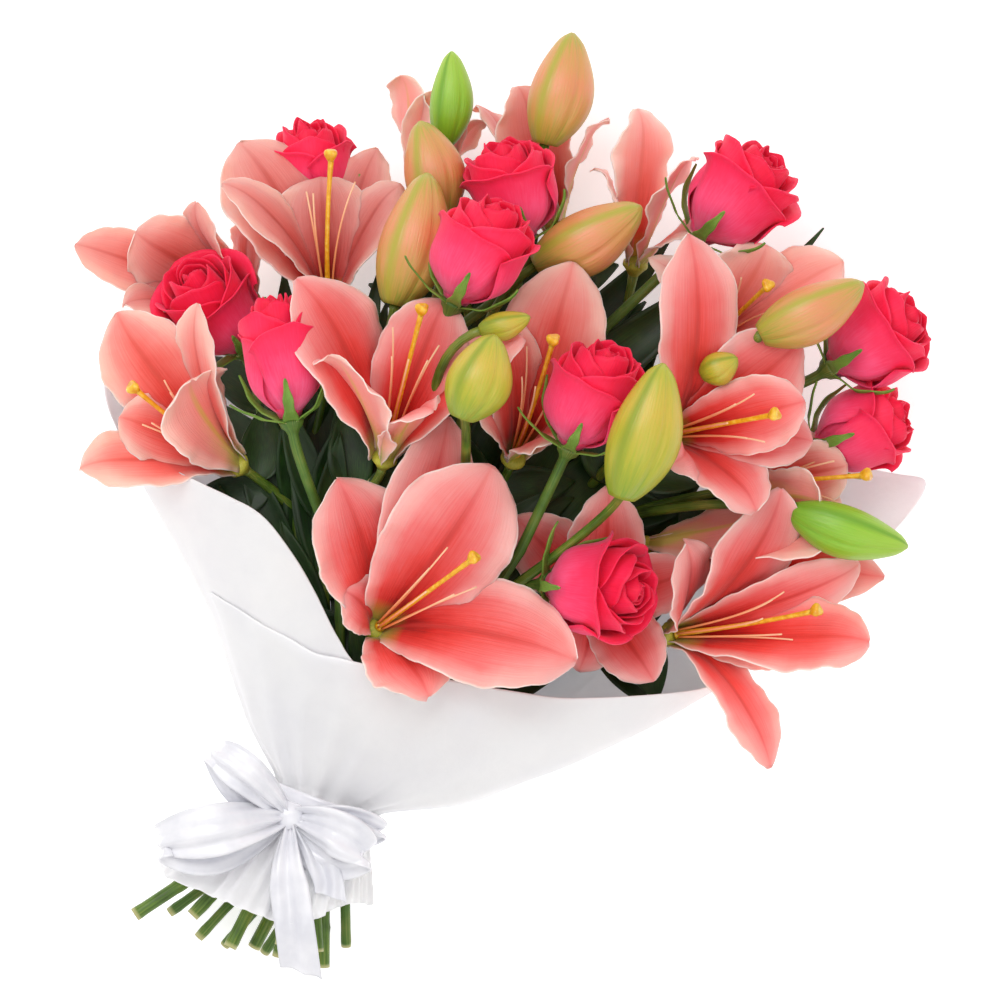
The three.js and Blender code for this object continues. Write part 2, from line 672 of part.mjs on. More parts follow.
// A rose stem ends in a calyx: a small cup under the petals with five sepals round the head.
function roseStem(head, grow = 0) {
  const base = vec(head.base);
  const axis = vec(head.top).sub(base);
  const length = axis.length();
  axis.normalize();
  const seat = base.clone().addScaledVector(axis, -GAP);
  const line = stemLine(head.slope);
  const neck = line(base.clone().sub(TIE).dot(AXIS) - NECK_LENGTH);
  const bend = new THREE.QuadraticBezierCurve3(
    neck,
    base.clone().addScaledVector(axis, -26),
    base.clone().addScaledVector(axis, -10),
  );
  const straight = line(1).sub(line(0)).normalize();
  const rings = [{ centre: line(head.cut - STEM_BELOW_TIE), normal: straight, radius: ROSE_STEM_RADIUS + grow }];
  for (const t of [0, 0.5, 1]) {
    rings.push({ centre: bend.getPoint(t), normal: bend.getTangent(t), radius: ROSE_STEM_RADIUS + grow });
  }
  const ring = (along, r) => ({
    centre: seat.clone().addScaledVector(axis, along),
    normal: axis,
    radius: r + grow,
  });
  rings.push(ring(-5, CALYX_NECK_RADIUS), ring(grow, 0.15 * head.width + 1.5));
  rings[0].centre.addScaledVector(straight, -grow);
  const pieces = [loft(rings, 6)];
  const right = axis.clone().cross(UP).normalize();
  const front = right.clone().cross(axis);
  for (let k = 0; k < 3; k += 1) {
    const angle = 0.5 + (2 * PI * k) / 3;
    const out = right.clone().multiplyScalar(cos(angle)).addScaledVector(front, sin(angle));
    const across = axis.clone().cross(out);
    const droop = k === 1 ? 1 : 0;
    const sepal = (u, t) => {
      const x = 2 * u - 1;
      const half = SEPAL_HALF_WIDTH * max(0.12, (1 - t) ** 0.6);
      const reach = (head.width / 2) * roseProfile(0.6 * t) + 2.6 + (6 + 10 * droop) * t * t;
      return seat.clone()
        .addScaledVector(axis, -1.5 + (droop ? 18 : 30) * t)
        .addScaledVector(out, mix(3, reach, min(1, 3 * t + 0.3)))
        .addScaledVector(across, half * x);
    };
    pieces.push(blade(sepal, 2, 2, SEPAL_THICKNESS / 2, SEPAL_THICKNESS / 2, grow));
  }
  return wasm.Manifold.union(pieces);
}

// ---------------------------------------------------------------- paper wrap

// Half-widths and front height of the paper cone at distances up its axis from the tie.
const PAPER_STATIONS = [-84, -40, -9, 9, 34, 90, 157, 200, 330];
const PAPER_LEFT = [95, 64, 30.2, 30.2, 60, 104, 178, 226, 250];
const PAPER_RIGHT = [60, 42, 30.2, 30.2, 84, 148, 206, 230, 300];
const PAPER_FRONT = [112, 98, 90.2, 90.2, 106, 142, 160, 172, 190];
const PAPER_BACK = [8, 20, 29.8, 29.8, 10, -14, -18, -20, -20];
// The sheet starts at the front under its own other end, goes round the left, the back and the
// right, and ends past the front on the left. Its upper and lower edges, by turn in degrees:
const RIM_TURNS = [85, 100, 120, 150, 178, 196, 225, 270, 315, 345, 356, 372, 410, 446, 469, 513, 525];
const RIM_ALONG = [86, 92, 156, 164, 152, 200, 268, 300, 302, 316, 240, 150, 112, 95, 88, 101, 104];
const HEM_TURNS = [85, 150, 200, 270, 330, 400, 446, 500, 525];
const HEM_ALONG = [-72, -70, -60, -54, -44, -46, -72, -70, -66];
const SHEET_START = 85;
const SHEET_END = 517;
const LAYER_RISE = 1.7;         // a full turn lies this far outside the turn under it

function along(list, values, at) {
  let k = 0;
  while (k < list.length - 2 && at > list[k + 1]) k += 1;
  const t = THREE.MathUtils.clamp((at - list[k]) / (list[k + 1] - list[k]), 0, 1);
  return mix(values[k], values[k + 1], t);
}

// A point of the sheet's outer face at a turn, in degrees, and a distance up the axis.
function paperPoint(turn, s) {
  const angle = THREE.MathUtils.degToRad(turn);
  const layer = LAYER_RISE * ((turn - SHEET_START) / 360);
  const width = along(PAPER_STATIONS, cos(angle) < 0 ? PAPER_LEFT : PAPER_RIGHT, s);
  const top = along(PAPER_STATIONS, PAPER_FRONT, s);
  const bottom = along(PAPER_STATIONS, PAPER_BACK, s);
  const gathers = 1.3 * Math.exp(-((s / 30) ** 2)) + (s < 0 ? -0.06 * s : 0);
  const ruffle = gathers * cos(10 * angle) + layer;
  const across = (width + ruffle) * cos(angle);
  const height = (top + bottom) / 2 + ((top - bottom) / 2 + ruffle) * sin(angle);
  const point = AXIS.clone().multiplyScalar(s).addScaledVector(SIDE, across);
  point.z = max(height, 0);
  return point;
}

function paperWrap(grow = 0) {
  const columns = 24;
  const rows = [0, 0.45, 1, 1, 1.15, 1.35, 1.65, 2];
  const surface = (u, t) => {
    const turn = mix(SHEET_START, SHEET_END, u);
    const hem = along(HEM_TURNS, HEM_ALONG, turn);
    const rim = along(RIM_TURNS, RIM_ALONG, turn);
    const k = Math.round(t * (rows.length - 1));
    if (k === 2) return paperPoint(turn, -9);
    if (k === 3) return paperPoint(turn, 9);
    return paperPoint(turn, rows[k] < 1 ? mix(hem, -9, rows[k]) : mix(9, rim, rows[k] - 1));
  };
  return blade(surface, columns, rows.length - 1, 0, PAPER_THICKNESS, grow);
}

// ---------------------------------------------------------------- ribbon

const BAND_RADIUS = 34.1;
const BAND_WIDTH = 13;
const KNOT = [-19, -3, 98];
const FOLD_ROUNDING = 0.42;      // a loop is this much narrower where it folds back

// The band round the gathers.
function ribbonBand() {
  const profile = [
    new THREE.Vector2(BAND_RADIUS, -BAND_WIDTH / 2),
    new THREE.Vector2(BAND_RADIUS + 1.2, -BAND_WIDTH / 2),
    new THREE.Vector2(BAND_RADIUS + 1.2, BAND_WIDTH / 2),
    new THREE.Vector2(BAND_RADIUS, BAND_WIDTH / 2),
    new THREE.Vector2(BAND_RADIUS, -BAND_WIDTH / 2),
  ];
  const ring = new THREE.LatheGeometry(profile, 28);
  const upright = new THREE.Quaternion().setFromUnitVectors(new THREE.Vector3(0, 1, 0), AXIS);
  ring.applyQuaternion(upright);
  ring.translate(TIE.x, TIE.y, TIE.z);
  return solidFromGeometry(ring);
}

// A strip of ribbon along a path of points, `width` broad and pinched at the knot.
function ribbonStrip(points, across, width, steps) {
  const curve = new THREE.CatmullRomCurve3(points.map(vec));
  const broad = vec(across).normalize();
  const closed = points[0].join() === points[points.length - 1].join();
  const surface = (u, t) => {
    const x = 2 * u - 1;
    const rounding = 1 - FOLD_ROUNDING * Math.exp(-(((t - 0.5) / 0.14) ** 2));
    const pinch = closed ? sin(PI * t) ** 0.5 * rounding : min(1, t * 2.2) ** 0.7;
    const half = (width / 2) * max(0.18, pinch);
    const fold = 2.5 * (1 - abs(x)) * (1 - 0.5 * t);
    const tangent = curve.getTangent(t);
    const side = broad.clone().addScaledVector(tangent, -broad.dot(tangent)).normalize();
    const normal = side.clone().cross(tangent);
    return curve.getPoint(t).addScaledVector(side, half * x).addScaledVector(normal, fold);
  };
  return blade(surface, 2, steps, RIBBON_THICKNESS / 2, RIBBON_THICKNESS / 2);
}

const LOOPS = [
  { points: [KNOT, [-58, -10, 128], [-94, -18, 120], [-62, -22, 110], KNOT], across: [-0.3, 1, 0.2], width: 38 },
  { points: [KNOT, [-44, 22, 128], [-62, 34, 122], [-42, 10, 114], KNOT], across: [0.7, 0.7, 0.3], width: 30 },
  { points: [KNOT, [8, -12, 122], [28, -26, 112], [0, -26, 104], KNOT], across: [0.3, 1, 0.2], width: 34 },
  { points: [KNOT, [14, -4, 112], [38, -12, 102], [16, -14, 98], KNOT], across: [0.2, 1, 0], width: 18 },
];
const TAILS = [
  { points: [KNOT, [-20, -34, 116], [-16, -66, 112], [-12, -98, 96]], across: [1, 0, 0.15], width: 24 },
  { points: [KNOT, [-4, -24, 108], [4, -40, 107], [6, -52, 106]], across: [1, 0.2, 0], width: 18 },
];

function bow() {
  const knot = vec(KNOT);
  const ring = (z, radius) => ({ centre: knot.clone().add(new THREE.Vector3(0, 0, z)), normal: UP, radius });
  const pieces = [loft([ring(-2.4, 7), ring(2, 9.5), ring(8, 6)], 8)];
  for (const loop of LOOPS) {
    pieces.push(ribbonStrip(loop.points, loop.across, loop.width, 6));
  }
  for (const tail of TAILS) {
    pieces.push(ribbonStrip(tail.points, tail.across, tail.width, 4));
  }
  return wasm.Manifold.union(pieces);
}

// ---------------------------------------------------------------- assembly

// Pieces in the order in which they keep their whole shape. A piece that would run into one
// before it is trimmed to TRIM_GAP round it, and what the trimming cuts loose is left off.
const pieces = [];
const add = (name, colour, roughness, make, middle) => {
  pieces.push({ name, colour, roughness, make, middle });
};

add('paper_wrap', PAPER_WHITE, 0.8, paperWrap);
add('ribbon_band', SATIN_WHITE, 0.35, ribbonBand);
add('ribbon_bow', SATIN_WHITE, 0.35, bow);
for (const [name, stem] of Object.entries(LILY_STEMS)) {
  add(`lily_stem_${name}`, STEM_GREEN, 0.6, (grow) => lilyStem(stem, grow));
}
for (const [name, head] of Object.entries(ROSES)) {
  add(`rose_stem_${name}`, LEAF_GREEN, 0.6, (grow) => roseStem(head, grow));
}
for (const [name, head] of Object.entries(ROSES)) {
  add(`rose_${name}`, ROSE_PINK, 0.6, (grow) => rose(head, grow));
}
for (const [name, place] of Object.entries(PEACH_BUDS)) {
  add(`bud_${name}`, BUD_PEACH, 0.5, (grow) => bud(place, grow));
}
for (const [name, flower] of Object.entries(LILIES)) {
  if (flower.stigma) add(`pistil_${name}`, STYLE_YELLOW, 0.5, (grow) => pistil(flower, grow));
}
for (const [name, flower] of Object.entries(LILIES)) {
  const colour = flower.hero ? CORAL : CORAL_PALE;
  add(`lily_${name}`, colour, 0.5, (grow) => lily(flower, grow));
}

function meet(one, other) {
  const a = one.boundingBox();
  const b = other.boundingBox();
  for (let k = 0; k < 3; k += 1) {
    if (a.min[k] > b.max[k] || b.min[k] > a.max[k]) return false;
  }
  return one.intersect(other).volume() > 1e-4;
}

function biggest(solid) {
  const parts = solid.decompose();
  return parts.reduce((best, part) => (part.volume() > best.volume() ? part : best));
}

function toMesh(solid, piece) {
  const { vertProperties, triVerts } = solid.getMesh();
  const geometry = new THREE.BufferGeometry();
  geometry.setAttribute('position', new THREE.BufferAttribute(vertProperties, 3));
  geometry.setIndex(new THREE.BufferAttribute(triVerts, 1));
  const material = new THREE.MeshStandardMaterial({
    color: piece.colour, roughness: piece.roughness, metalness: 0, side: THREE.DoubleSide,
  });
  const mesh = new THREE.Mesh(geometry, material);
  mesh.name = piece.name;
  return mesh;
}

const layout = new THREE.Group();
const placed = [];
for (const piece of pieces) {
  let solid = piece.make(0);
  for (const other of placed) {
    if (meet(solid, other.solid)) solid = solid.subtract(other.piece.make(TRIM_GAP));
  }
  solid = biggest(biggest(solid).asOriginal().simplify(SLIVER));
  layout.add(toMesh(solid, piece));
  placed.push({ piece, solid });
}

layout.rotation.z = LEAN;
const bouquet = new THREE.Group();
bouquet.add(layout);
bouquet.position.y = -REST_UP_AXIS;

export default bouquet;
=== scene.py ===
# A mixed bouquet lying on its back: coral lilies, hot-pink roses and lily buds in a white paper
# wrap, tied with a white satin bow. Metres, +Z up; the axis from the cut stems to the blooms is +Y.
import math

import bpy
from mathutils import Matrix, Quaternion, Vector


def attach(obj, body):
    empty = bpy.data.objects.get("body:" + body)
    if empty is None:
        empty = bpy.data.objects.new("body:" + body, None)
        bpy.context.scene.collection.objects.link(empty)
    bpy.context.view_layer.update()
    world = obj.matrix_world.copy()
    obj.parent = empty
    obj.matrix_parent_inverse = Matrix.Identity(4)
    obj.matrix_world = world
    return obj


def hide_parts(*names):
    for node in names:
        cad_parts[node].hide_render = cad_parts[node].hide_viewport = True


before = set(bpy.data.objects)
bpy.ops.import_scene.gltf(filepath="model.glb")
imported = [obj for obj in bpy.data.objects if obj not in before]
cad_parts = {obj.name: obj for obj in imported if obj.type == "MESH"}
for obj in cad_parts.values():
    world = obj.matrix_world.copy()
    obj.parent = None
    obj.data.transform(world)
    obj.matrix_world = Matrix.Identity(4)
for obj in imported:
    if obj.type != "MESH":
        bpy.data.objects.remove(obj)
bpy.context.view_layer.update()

# ---------------------------------------------------------------- camera, light and floor
# The camera looks straight down on the bouquet from far off, as a long lens does, and is turned
# so that the bouquet's axis leans right in the picture. The picture is 600 mm wide.

LEAN = math.radians(20)
PICTURE_WIDTH = 0.6
PICTURE_MIDDLE = (0.0375, -0.0022)
CAMERA_HEIGHT = 7.0
FLOWERS_HEIGHT = 0.13
SENSOR_WIDTH = 36
TABLE_SIZE = 8
TABLE_DROP = 0.0006

bpy.ops.object.select_all(action="DESELECT")
bpy.ops.object.camera_add(location=(*PICTURE_MIDDLE, CAMERA_HEIGHT), rotation=(0, 0, LEAN))
camera = bpy.context.object
camera.data.sensor_width = SENSOR_WIDTH
camera.data.lens = SENSOR_WIDTH * (CAMERA_HEIGHT - FLOWERS_HEIGHT) / PICTURE_WIDTH
camera.data.clip_end = 40
bpy.context.scene.camera = camera
bpy.context.scene.view_settings.view_transform = "Standard"


def hue(code):
    """A linear colour from its sRGB hex code."""
    parts = [int(code[k:k + 2], 16) / 255 for k in (1, 3, 5)]
    return [*[c / 12.92 if c <= 0.04045 else ((c + 0.055) / 1.055) ** 2.4 for c in parts], 1]


def put(tree, kind, sockets=(), stops=(), out=0, **settings):
    """Add a node and give one output. A socket takes a number, a colour or another's output."""
    node = tree.nodes.new("ShaderNode" + kind)
    for name, value in settings.items():
        setattr(node, name, value)
    for name, value in dict(sockets).items():
        if isinstance(value, bpy.types.NodeSocket):
            tree.links.new(value, node.inputs[name])
        else:
            node.inputs[name].default_value = value
    for k, (place, code) in enumerate(stops):
        ramp = node.color_ramp.elements
        stop = ramp[k] if k < 2 else ramp.new(place)
        stop.position = place
        stop.color = hue(code)
    return node.outputs[out]


def finish_of(name, **shader):
    """A material with its node tree and its Principled shader, whose plain sockets are set."""
    material = bpy.data.materials.new(name)
    material.use_nodes = True
    principled = material.node_tree.nodes["Principled BSDF"]
    for socket, value in shader.items():
        principled.inputs[socket.replace("_", " ")].default_value = value
    return material, material.node_tree, principled


def wire(tree, shader, tone, *bumps):
    """Give the shader its colour, and its bumps: each a height, a strength and a depth."""
    tree.links.new(tone, shader.inputs["Base Color"])
    under = {}
    for height, strength, depth in bumps:
        normal = put(tree, "Bump", {
            "Height": height, "Strength": strength, "Distance": depth, **under})
        tree.links.new(normal, shader.inputs["Normal"])
        under = {"Normal": normal}


world = bpy.data.worlds.new("studio")
world.use_nodes = True
sky = world.node_tree.nodes["Background"].inputs
sky["Color"].default_value = hue("#FFFDFB")
sky["Strength"].default_value = 0.8
bpy.context.scene.world = world

# A large soft box to the upper left of the picture, and a weaker one below it to the right.
for place, power, size in (((-1.0, 0.8, 2.6), 30, 1.5), ((0.9, -1.1, 2.5), 12, 2.0)):
    bpy.ops.object.light_add(type="AREA", location=place)
    lamp = bpy.context.object
    lamp.data.energy = power
    lamp.data.size = size
    lamp.rotation_euler = (-Vector(place)).to_track_quat("-Z", "Y").to_euler()

# Studio table: white laminate, matt, with a faint mottle of about 110 mm, lit through from below
# as a light table.
bpy.ops.mesh.primitive_grid_add(
    x_subdivisions=8, y_subdivisions=8, size=TABLE_SIZE, location=(0, 0, -TABLE_DROP))
floor = bpy.context.object
floor.name = "studio_floor"
laminate, tree, shader = finish_of("white laminate", Roughness=0.7, Emission_Strength=0.4)
place = put(tree, "TexCoord", out="Object")
mottle = put(tree, "TexNoise", {"Vector": place, "Scale": 9.0})
tone = put(tree, "ValToRGB", {"Fac": mottle}, [(0.3, "#FAFAFB"), (0.7, "#FDFDFD")])
wire(tree, shader, tone)
tree.links.new(tone, shader.inputs["Emission Color"])
floor.data.materials.append(laminate)

# ---------------------------------------------------------------- paper wrap
# One sheet of white florist's paper, rolled round the stems, lapped over at the front and
# gathered at the tie, with a skirt below it. It lies on the back of its cone.

# Sizes are in millimetres from here on, in a layout whose axis leans as in the picture.
AXIS = Vector((math.sin(LEAN), math.cos(LEAN), 0))
SIDE = Vector((math.cos(LEAN), -math.sin(LEAN), 0))
UP = Vector((0, 0, 1))
TIE = Vector((0, 0, 60))
REST_UP_AXIS = 215
UPRIGHT = Quaternion(UP, LEAN)

# The sheet's half-widths and its front's and back's heights, at stations along the axis.
PAPER_STATIONS = [-84, -40, -9, 9, 34, 90, 157, 200, 330]
PAPER_LEFT = [95, 64, 30.2, 30.2, 60, 104, 178, 226, 250]
PAPER_RIGHT = [60, 42, 30.2, 30.2, 84, 148, 206, 230, 300]
PAPER_FRONT = [112, 98, 90.2, 90.2, 106, 142, 160, 172, 190]
PAPER_BACK = [8, 20, 29.8, 29.8, 10, -14, -18, -20, -20]
# How far along the axis its rim and its hem run, at turns in degrees round the roll.
RIM_TURNS = [85, 100, 120, 150, 178, 196, 225, 270, 315, 345, 356, 372, 410, 446, 469, 513, 525]
RIM_ALONG = [86, 92, 156, 164, 152, 200, 268, 300, 302, 316, 240, 150, 112, 95, 88, 101, 104]
HEM_TURNS = [85, 150, 200, 270, 330, 400, 446, 500, 525]
HEM_ALONG = [-72, -70, -60, -54, -44, -46, -72, -70, -66]
SHEET_START = 85
SHEET_END = 517
LAYER_RISE = 1.7
NECK = 9
SKIRT_SHARE = 0.25
GATHERS = 10
GATHER_DEPTH = 1.3
GATHER_REACH = 30
SKIRT_FLARE = 0.06
CREASE_DEPTH = 0.9
CREASE_REACH = 160
DENT_DEPTH = 0.7
PLEAT_DEPTH = 1.3
PLEAT_REACH = 25
TABLE_CLEARANCE = 6
PAPER_THICKNESS = 0.0007


def laid(point):
    """A place in the frame, in metres, from one in the layout."""
    return (UPRIGHT @ Vector(point) - Vector((0, REST_UP_AXIS, 0))) / 1000


def mix(a, b, t):
    return a + (b - a) * t


def grid_of(across, along, surface):
    """A new sheet: a grid whose points are moved onto surface(u, t), both from 0 to 1."""
    bpy.ops.mesh.primitive_grid_add(x_subdivisions=across, y_subdivisions=along, size=1)
    sheet = bpy.context.object
    for vertex in sheet.data.vertices:
        vertex.co = laid(surface(vertex.co.x + 0.5, vertex.co.y + 0.5))
    return sheet


def modify(piece, kind, **settings):
    """Add a modifier and apply it."""
    bpy.context.view_layer.objects.active = piece
    modifier = piece.modifiers.new(kind.title(), kind)
    for name, value in settings.items():
        setattr(modifier, name, value)
    bpy.ops.object.modifier_apply(modifier=modifier.name)


def joined(pieces, name, *skins):
    """Join pieces into one, whose place is in its mesh, with smooth faces and these materials."""
    bpy.ops.object.select_all(action="DESELECT")
    for piece in pieces:
        piece.select_set(True)
    bpy.context.view_layer.objects.active = pieces[0]
    if len(pieces) > 1:
        bpy.ops.object.join()
    bpy.ops.object.transform_apply()
    bpy.ops.object.shade_smooth()
    whole = bpy.context.object
    whole.name = name
    for skin in skins:
        whole.data.materials.append(skin)
    return whole


def reading(places, values, at):
    """A value between the listed ones."""
    k = 0
    while k < len(places) - 2 and at > places[k + 1]:
        k += 1
    t = min(max((at - places[k]) / (places[k + 1] - places[k]), 0), 1)
    return mix(values[k], values[k + 1], t)


def paper_point(turn, along):
    """A point of the roll: an oval at its station, ruffled by the gathers, kept off the table."""
    angle = math.radians(turn)
    layer = LAYER_RISE * (turn - SHEET_START) / 360
    width = reading(PAPER_STATIONS, PAPER_LEFT if math.cos(angle) < 0 else PAPER_RIGHT, along)
    top = reading(PAPER_STATIONS, PAPER_FRONT, along)
    bottom = reading(PAPER_STATIONS, PAPER_BACK, along)
    gathers = GATHER_DEPTH * math.exp(-((along / GATHER_REACH) ** 2))
    gathers += -SKIRT_FLARE * along if along < 0 else 0
    ruffle = gathers * math.cos(GATHERS * angle) + layer
    across = (width + ruffle) * math.cos(angle)
    height = (top + bottom) / 2 + ((top - bottom) / 2 + ruffle) * math.sin(angle)
    point = AXIS * along + SIDE * across
    return Vector((point.x, point.y, max(height, 0)))


def paper_surface(u, t):
    """The sheet from its hem, through the tie, up to its rim."""
    turn = mix(SHEET_START, SHEET_END, u)
    if t <= SKIRT_SHARE:
        hem = reading(HEM_TURNS, HEM_ALONG, turn)
        rows = [hem, mix(hem, -NECK, 0.5), -NECK, 0, NECK]
        return paper_point(turn, reading([k * SKIRT_SHARE / 4 for k in range(5)], rows, t))
    rim = reading(RIM_TURNS, RIM_ALONG, turn)
    return paper_point(turn, mix(NECK, rim, ((t - SKIRT_SHARE) / (1 - SKIRT_SHARE)) ** 1.2))


wrap = grid_of(72, 24, paper_surface)
modify(wrap, "SUBSURF", levels=2, render_levels=2)
# Soft creases run up from the tie, small dents lie across them, and the skirt is pleated.
for vertex in wrap.data.vertices:
    point = vertex.co * 1000 + Vector((0, REST_UP_AXIS, 0))
    turn = math.atan2(point.z - TIE.z, point.x)
    crease = CREASE_DEPTH * math.sin(17 * turn + 0.02 * point.y)
    crease *= math.exp(-abs(point.y) / CREASE_REACH)
    dent = DENT_DEPTH * math.sin(0.055 * point.x + 0.031 * point.y)
    dent *= math.sin(0.047 * point.y + 1.3 * turn)
    pleat = PLEAT_DEPTH * math.sin(34 * turn) * min(1, max(0, -point.y - 8) / PLEAT_REACH)
    if point.z > TABLE_CLEARANCE:
        vertex.co += vertex.normal * (crease + dent + pleat) / 1000
modify(wrap, "SOLIDIFY", thickness=PAPER_THICKNESS, offset=1)
for vertex in wrap.data.vertices:
    vertex.co.z = max(vertex.co.z, 0)
wrap = joined([wrap], "paper_sheet")

# Florist's paper: uncoated white wrapping paper, pressed from fibre. Matt, with soft crumples of
# 45 mm whose hollows are coloured a faint lilac grey as painted shade, and fibre as a tooth of
# 1 mm, which is drawn coarser than it is so that it shows.
paper, tree, shader = finish_of(
    "uncoated white wrapping paper", Roughness=0.62, Subsurface_Weight=0.85,
    Subsurface_Scale=0.002, Subsurface_Radius=(1.0, 1.0, 1.0))
place = put(tree, "TexCoord", out="Object")
crumple = put(tree, "TexNoise", {"Vector": place, "Scale": 22.0, "Detail": 5.0})
fibre = put(tree, "TexNoise", {"Vector": place, "Scale": 900.0, "Detail": 2.0})
# Painted shade: the colour goes a faint lilac grey where the crumples dip.
tone = put(tree, "ValToRGB", {"Fac": crumple}, [(0.3, "#E9E9EE"), (0.62, "#F1F1F4")])
wire(tree, shader, tone, (fibre, 0.12, 0.0003), (crumple, 0.35, 0.004))
wrap.data.materials.append(paper)
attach(wrap, "root")
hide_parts("paper_wrap")

# ---------------------------------------------------------------- lilies
# Fifteen open coral lilies. A bloom is a small green-yellow receptacle on its pedicel with six
# tepals grown from it, in layers: thin living petal, cupped at the throat, rolled back at the tip.

PEDICEL_RADIUS = 2.6
RECEPTACLE_DEPTH = 7
RECEPTACLE_RADIUS = 8.4
RECEPTACLE_HEIGHT = 3.6
TEPAL_THICKNESS = 0.0007
CLAW_WIDTH = 0.26
WIDEST = 0.58
FACE_UP = 0.45
INNER_CUP = 0.4
OUTER_CUP = 0.3
EDGE_WAVE = 1.2
FRILL = 2.7
FINE_FRILL = 0.9
RAGGED_EDGE = 0.9
PLEATS = 0.2
SWELL = 0.9
MIDRIB_DEPTH = 1.7
TIP_ROLL = 4.5
EDGE_ROLL = 2.2
STEP = 0.01
MERGE = 0.00001

# base, axis, tint, and each tepal's tip and width, with what sets it apart.
LILIES = {
    "front": ((34, 110, 124), (0.42, 0.3, 0.86), "coral", [
        ((12, 200, 166), 66), ((104, 208, 176), 76), ((78, 238, 156), 54), ((66, 72, 168), 58),
        ((154, 92, 178), 68), ((14, 134, 158), 36)]),
    "lower_right": ((210, 106, 92), (0.9, 0.1, 0.42), "coral", [
        ((278, 192, 138), 56, {"twist": -0.9}), ((222, 160, 150), 44), ((329, 104, 136), 56),
        ((326, 148, 108), 36), ((274, 26, 100), 42), ((290, 96, 74), 34)]),
    "left": ((-50, 208, 98), (-0.7, 0.45, 0.55), "salmon", [
        ((-124, 300, 118), 62), ((-144, 208, 134), 48), ((-78, 262, 160), 58, {"twist": -1.1}),
        ((-76, 303, 158), 36), ((-122, 238, 116), 44)]),
    "upper_left": ((5, 305, 104), (-0.05, 0.85, 0.5), "dusky", [
        ((-50, 405, 94), 70), ((0, 384, 110), 58), ((34, 402, 84), 40), ((48, 378, 122), 38),
        ((-57, 379, 140), 34)]),
    "far_left": ((-40, 303, 52), (-0.75, 0.4, 0.45), "dusky", [
        ((-150, 343, 70), 38), ((-112, 348, 84), 58), ((-78, 364, 104), 36),
        ((-44, 356, 84), 34), ((-118, 308, 96), 40)]),
    "centre": ((39, 212, 144), (0.2, 0.78, 0.58), "coral", [
        ((-12, 320, 178), 66), ((76, 308, 168), 54), ((120, 286, 188), 42),
        ((8, 276, 206), 62, {"arch": 0.1, "twist": 0.7, "curl": -0.4}), ((66, 244, 210), 34)]),
    "middle": ((116, 212, 106), (0.25, 0.6, 0.75), "salmon", [
        ((152, 330, 146), 62), ((106, 296, 166), 44), ((148, 230, 162), 50, {"arch": 0.2}),
        ((170, 276, 126), 36), ((90, 252, 168), 28)]),
    "right": ((208, 226, 122), (0.75, 0.15, 0.65), "coral", [
        ((222, 346, 168), 58, {"twist": -0.5}), ((290, 284, 122), 60), ((298, 223, 130), 40),
        ((290, 246, 160), 46), ((262, 182, 166), 50), ((211, 208, 188), 42, {"arch": 0.34})]),
    "upper_right": ((232, 280, 78), (0.6, 0.6, 0.5), "blush", [
        ((270, 340, 104), 60), ((316, 332, 92), 46), ((200, 334, 112), 30),
        ((296, 290, 110), 38)]),
    "top": ((142, 350, 42), (-0.2, 0.95, 0.25), "dusky", [
        ((122, 438, 62), 54, {"twist": 0.35}), ((170, 422, 62), 52, {"twist": -0.3}),
        ((96, 430, 42), 40, {"twist": 0.5}), ((106, 404, 76), 42)]),
    "high_right": ((190, 330, 60), (0.15, 0.85, 0.4), "blush", [
        ((194, 423, 92), 54, {"twist": 0.1}), ((222, 397, 96), 54, {"twist": -0.3}),
        ((223, 352, 100), 28), ((168, 390, 86), 48, {"twist": 0.3})]),
    "high_left": ((62, 360, 34), (0.05, 0.97, 0.2), "dusky", [
        ((50, 446, 50), 46, {"twist": 1}), ((96, 420, 40), 42, {"twist": -0.9}),
        ((72, 438, 62), 40)]),
    "far_right": ((252, 194, 92), (0.95, 0.15, 0.25), "salmon", [
        ((318, 208, 100), 40), ((304, 184, 124), 38), ((316, 178, 94), 38),
        ((306, 222, 80), 38)]),
    "side_on": ((196, 158, 86), (0.97, -0.1, 0.2), "coral", [
        ((340, 141, 94), 46, {"arch": 0.05}), ((318, 168, 118), 38), ((262, 178, 122), 38),
        ((306, 182, 76), 38)]),
    "behind_rose": ((164, 128, 80), (0.2, -0.1, 0.97), "coral", [
        ((174, 194, 136), 46), ((226, 145, 112), 38), ((201, 78, 118), 42),
        ((156, 84, 114), 38), ((124, 104, 116), 36), ((118, 176, 118), 46)]),
}


def bezier(points, t):
    """A point of a quadratic or cubic curve."""
    points = [Vector(p) for p in points]
    while len(points) > 1:
        points = [a.lerp(b, t) for a, b in zip(points, points[1:])]
    return points[0]


def heading(points, t, step=STEP, curve=bezier):
    """The way a curve runs at t."""
    return (curve(points, min(t + step, 1)) - curve(points, max(t - step, 0))).normalized()


def merged(body):
    """Close the seams and poles of the sheet that was just made, with its faces outwards."""
    bpy.ops.object.mode_set(mode="EDIT")
    bpy.ops.mesh.select_all(action="SELECT")
    bpy.ops.mesh.remove_doubles(threshold=MERGE)
    bpy.ops.mesh.normals_make_consistent(inside=False)
    bpy.ops.object.mode_set(mode="OBJECT")
    return body


def tube_of(rings, sides, shape=None):
    """A closed round body through rings of (centre, direction, radius)."""
    first, last = rings[0], rings[-1]
    reference = Vector((1, 0, 0)) if abs(first[1].z) > 0.9 else UP
    rows = []
    for centre, normal, radius in [(*first[:2], 0), *rings, (*last[:2], 0)]:
        right = reference.cross(normal).normalized()
        front = normal.cross(right).normalized()
        reference = front
        row = []
        for k in range(sides + 1):
            angle = 2 * math.pi * (k % sides) / sides
            reach = radius * (shape(angle, len(rows) / (len(rings) + 1)) if shape else 1)
            across, up = reach * math.cos(angle), reach * math.sin(angle)
            row.append(centre + right * across + front * up)
        rows.append(row)
    end = len(rows) - 1
    return merged(grid_of(sides, end, lambda u, t: rows[round(t * end)][round(u * sides)]))


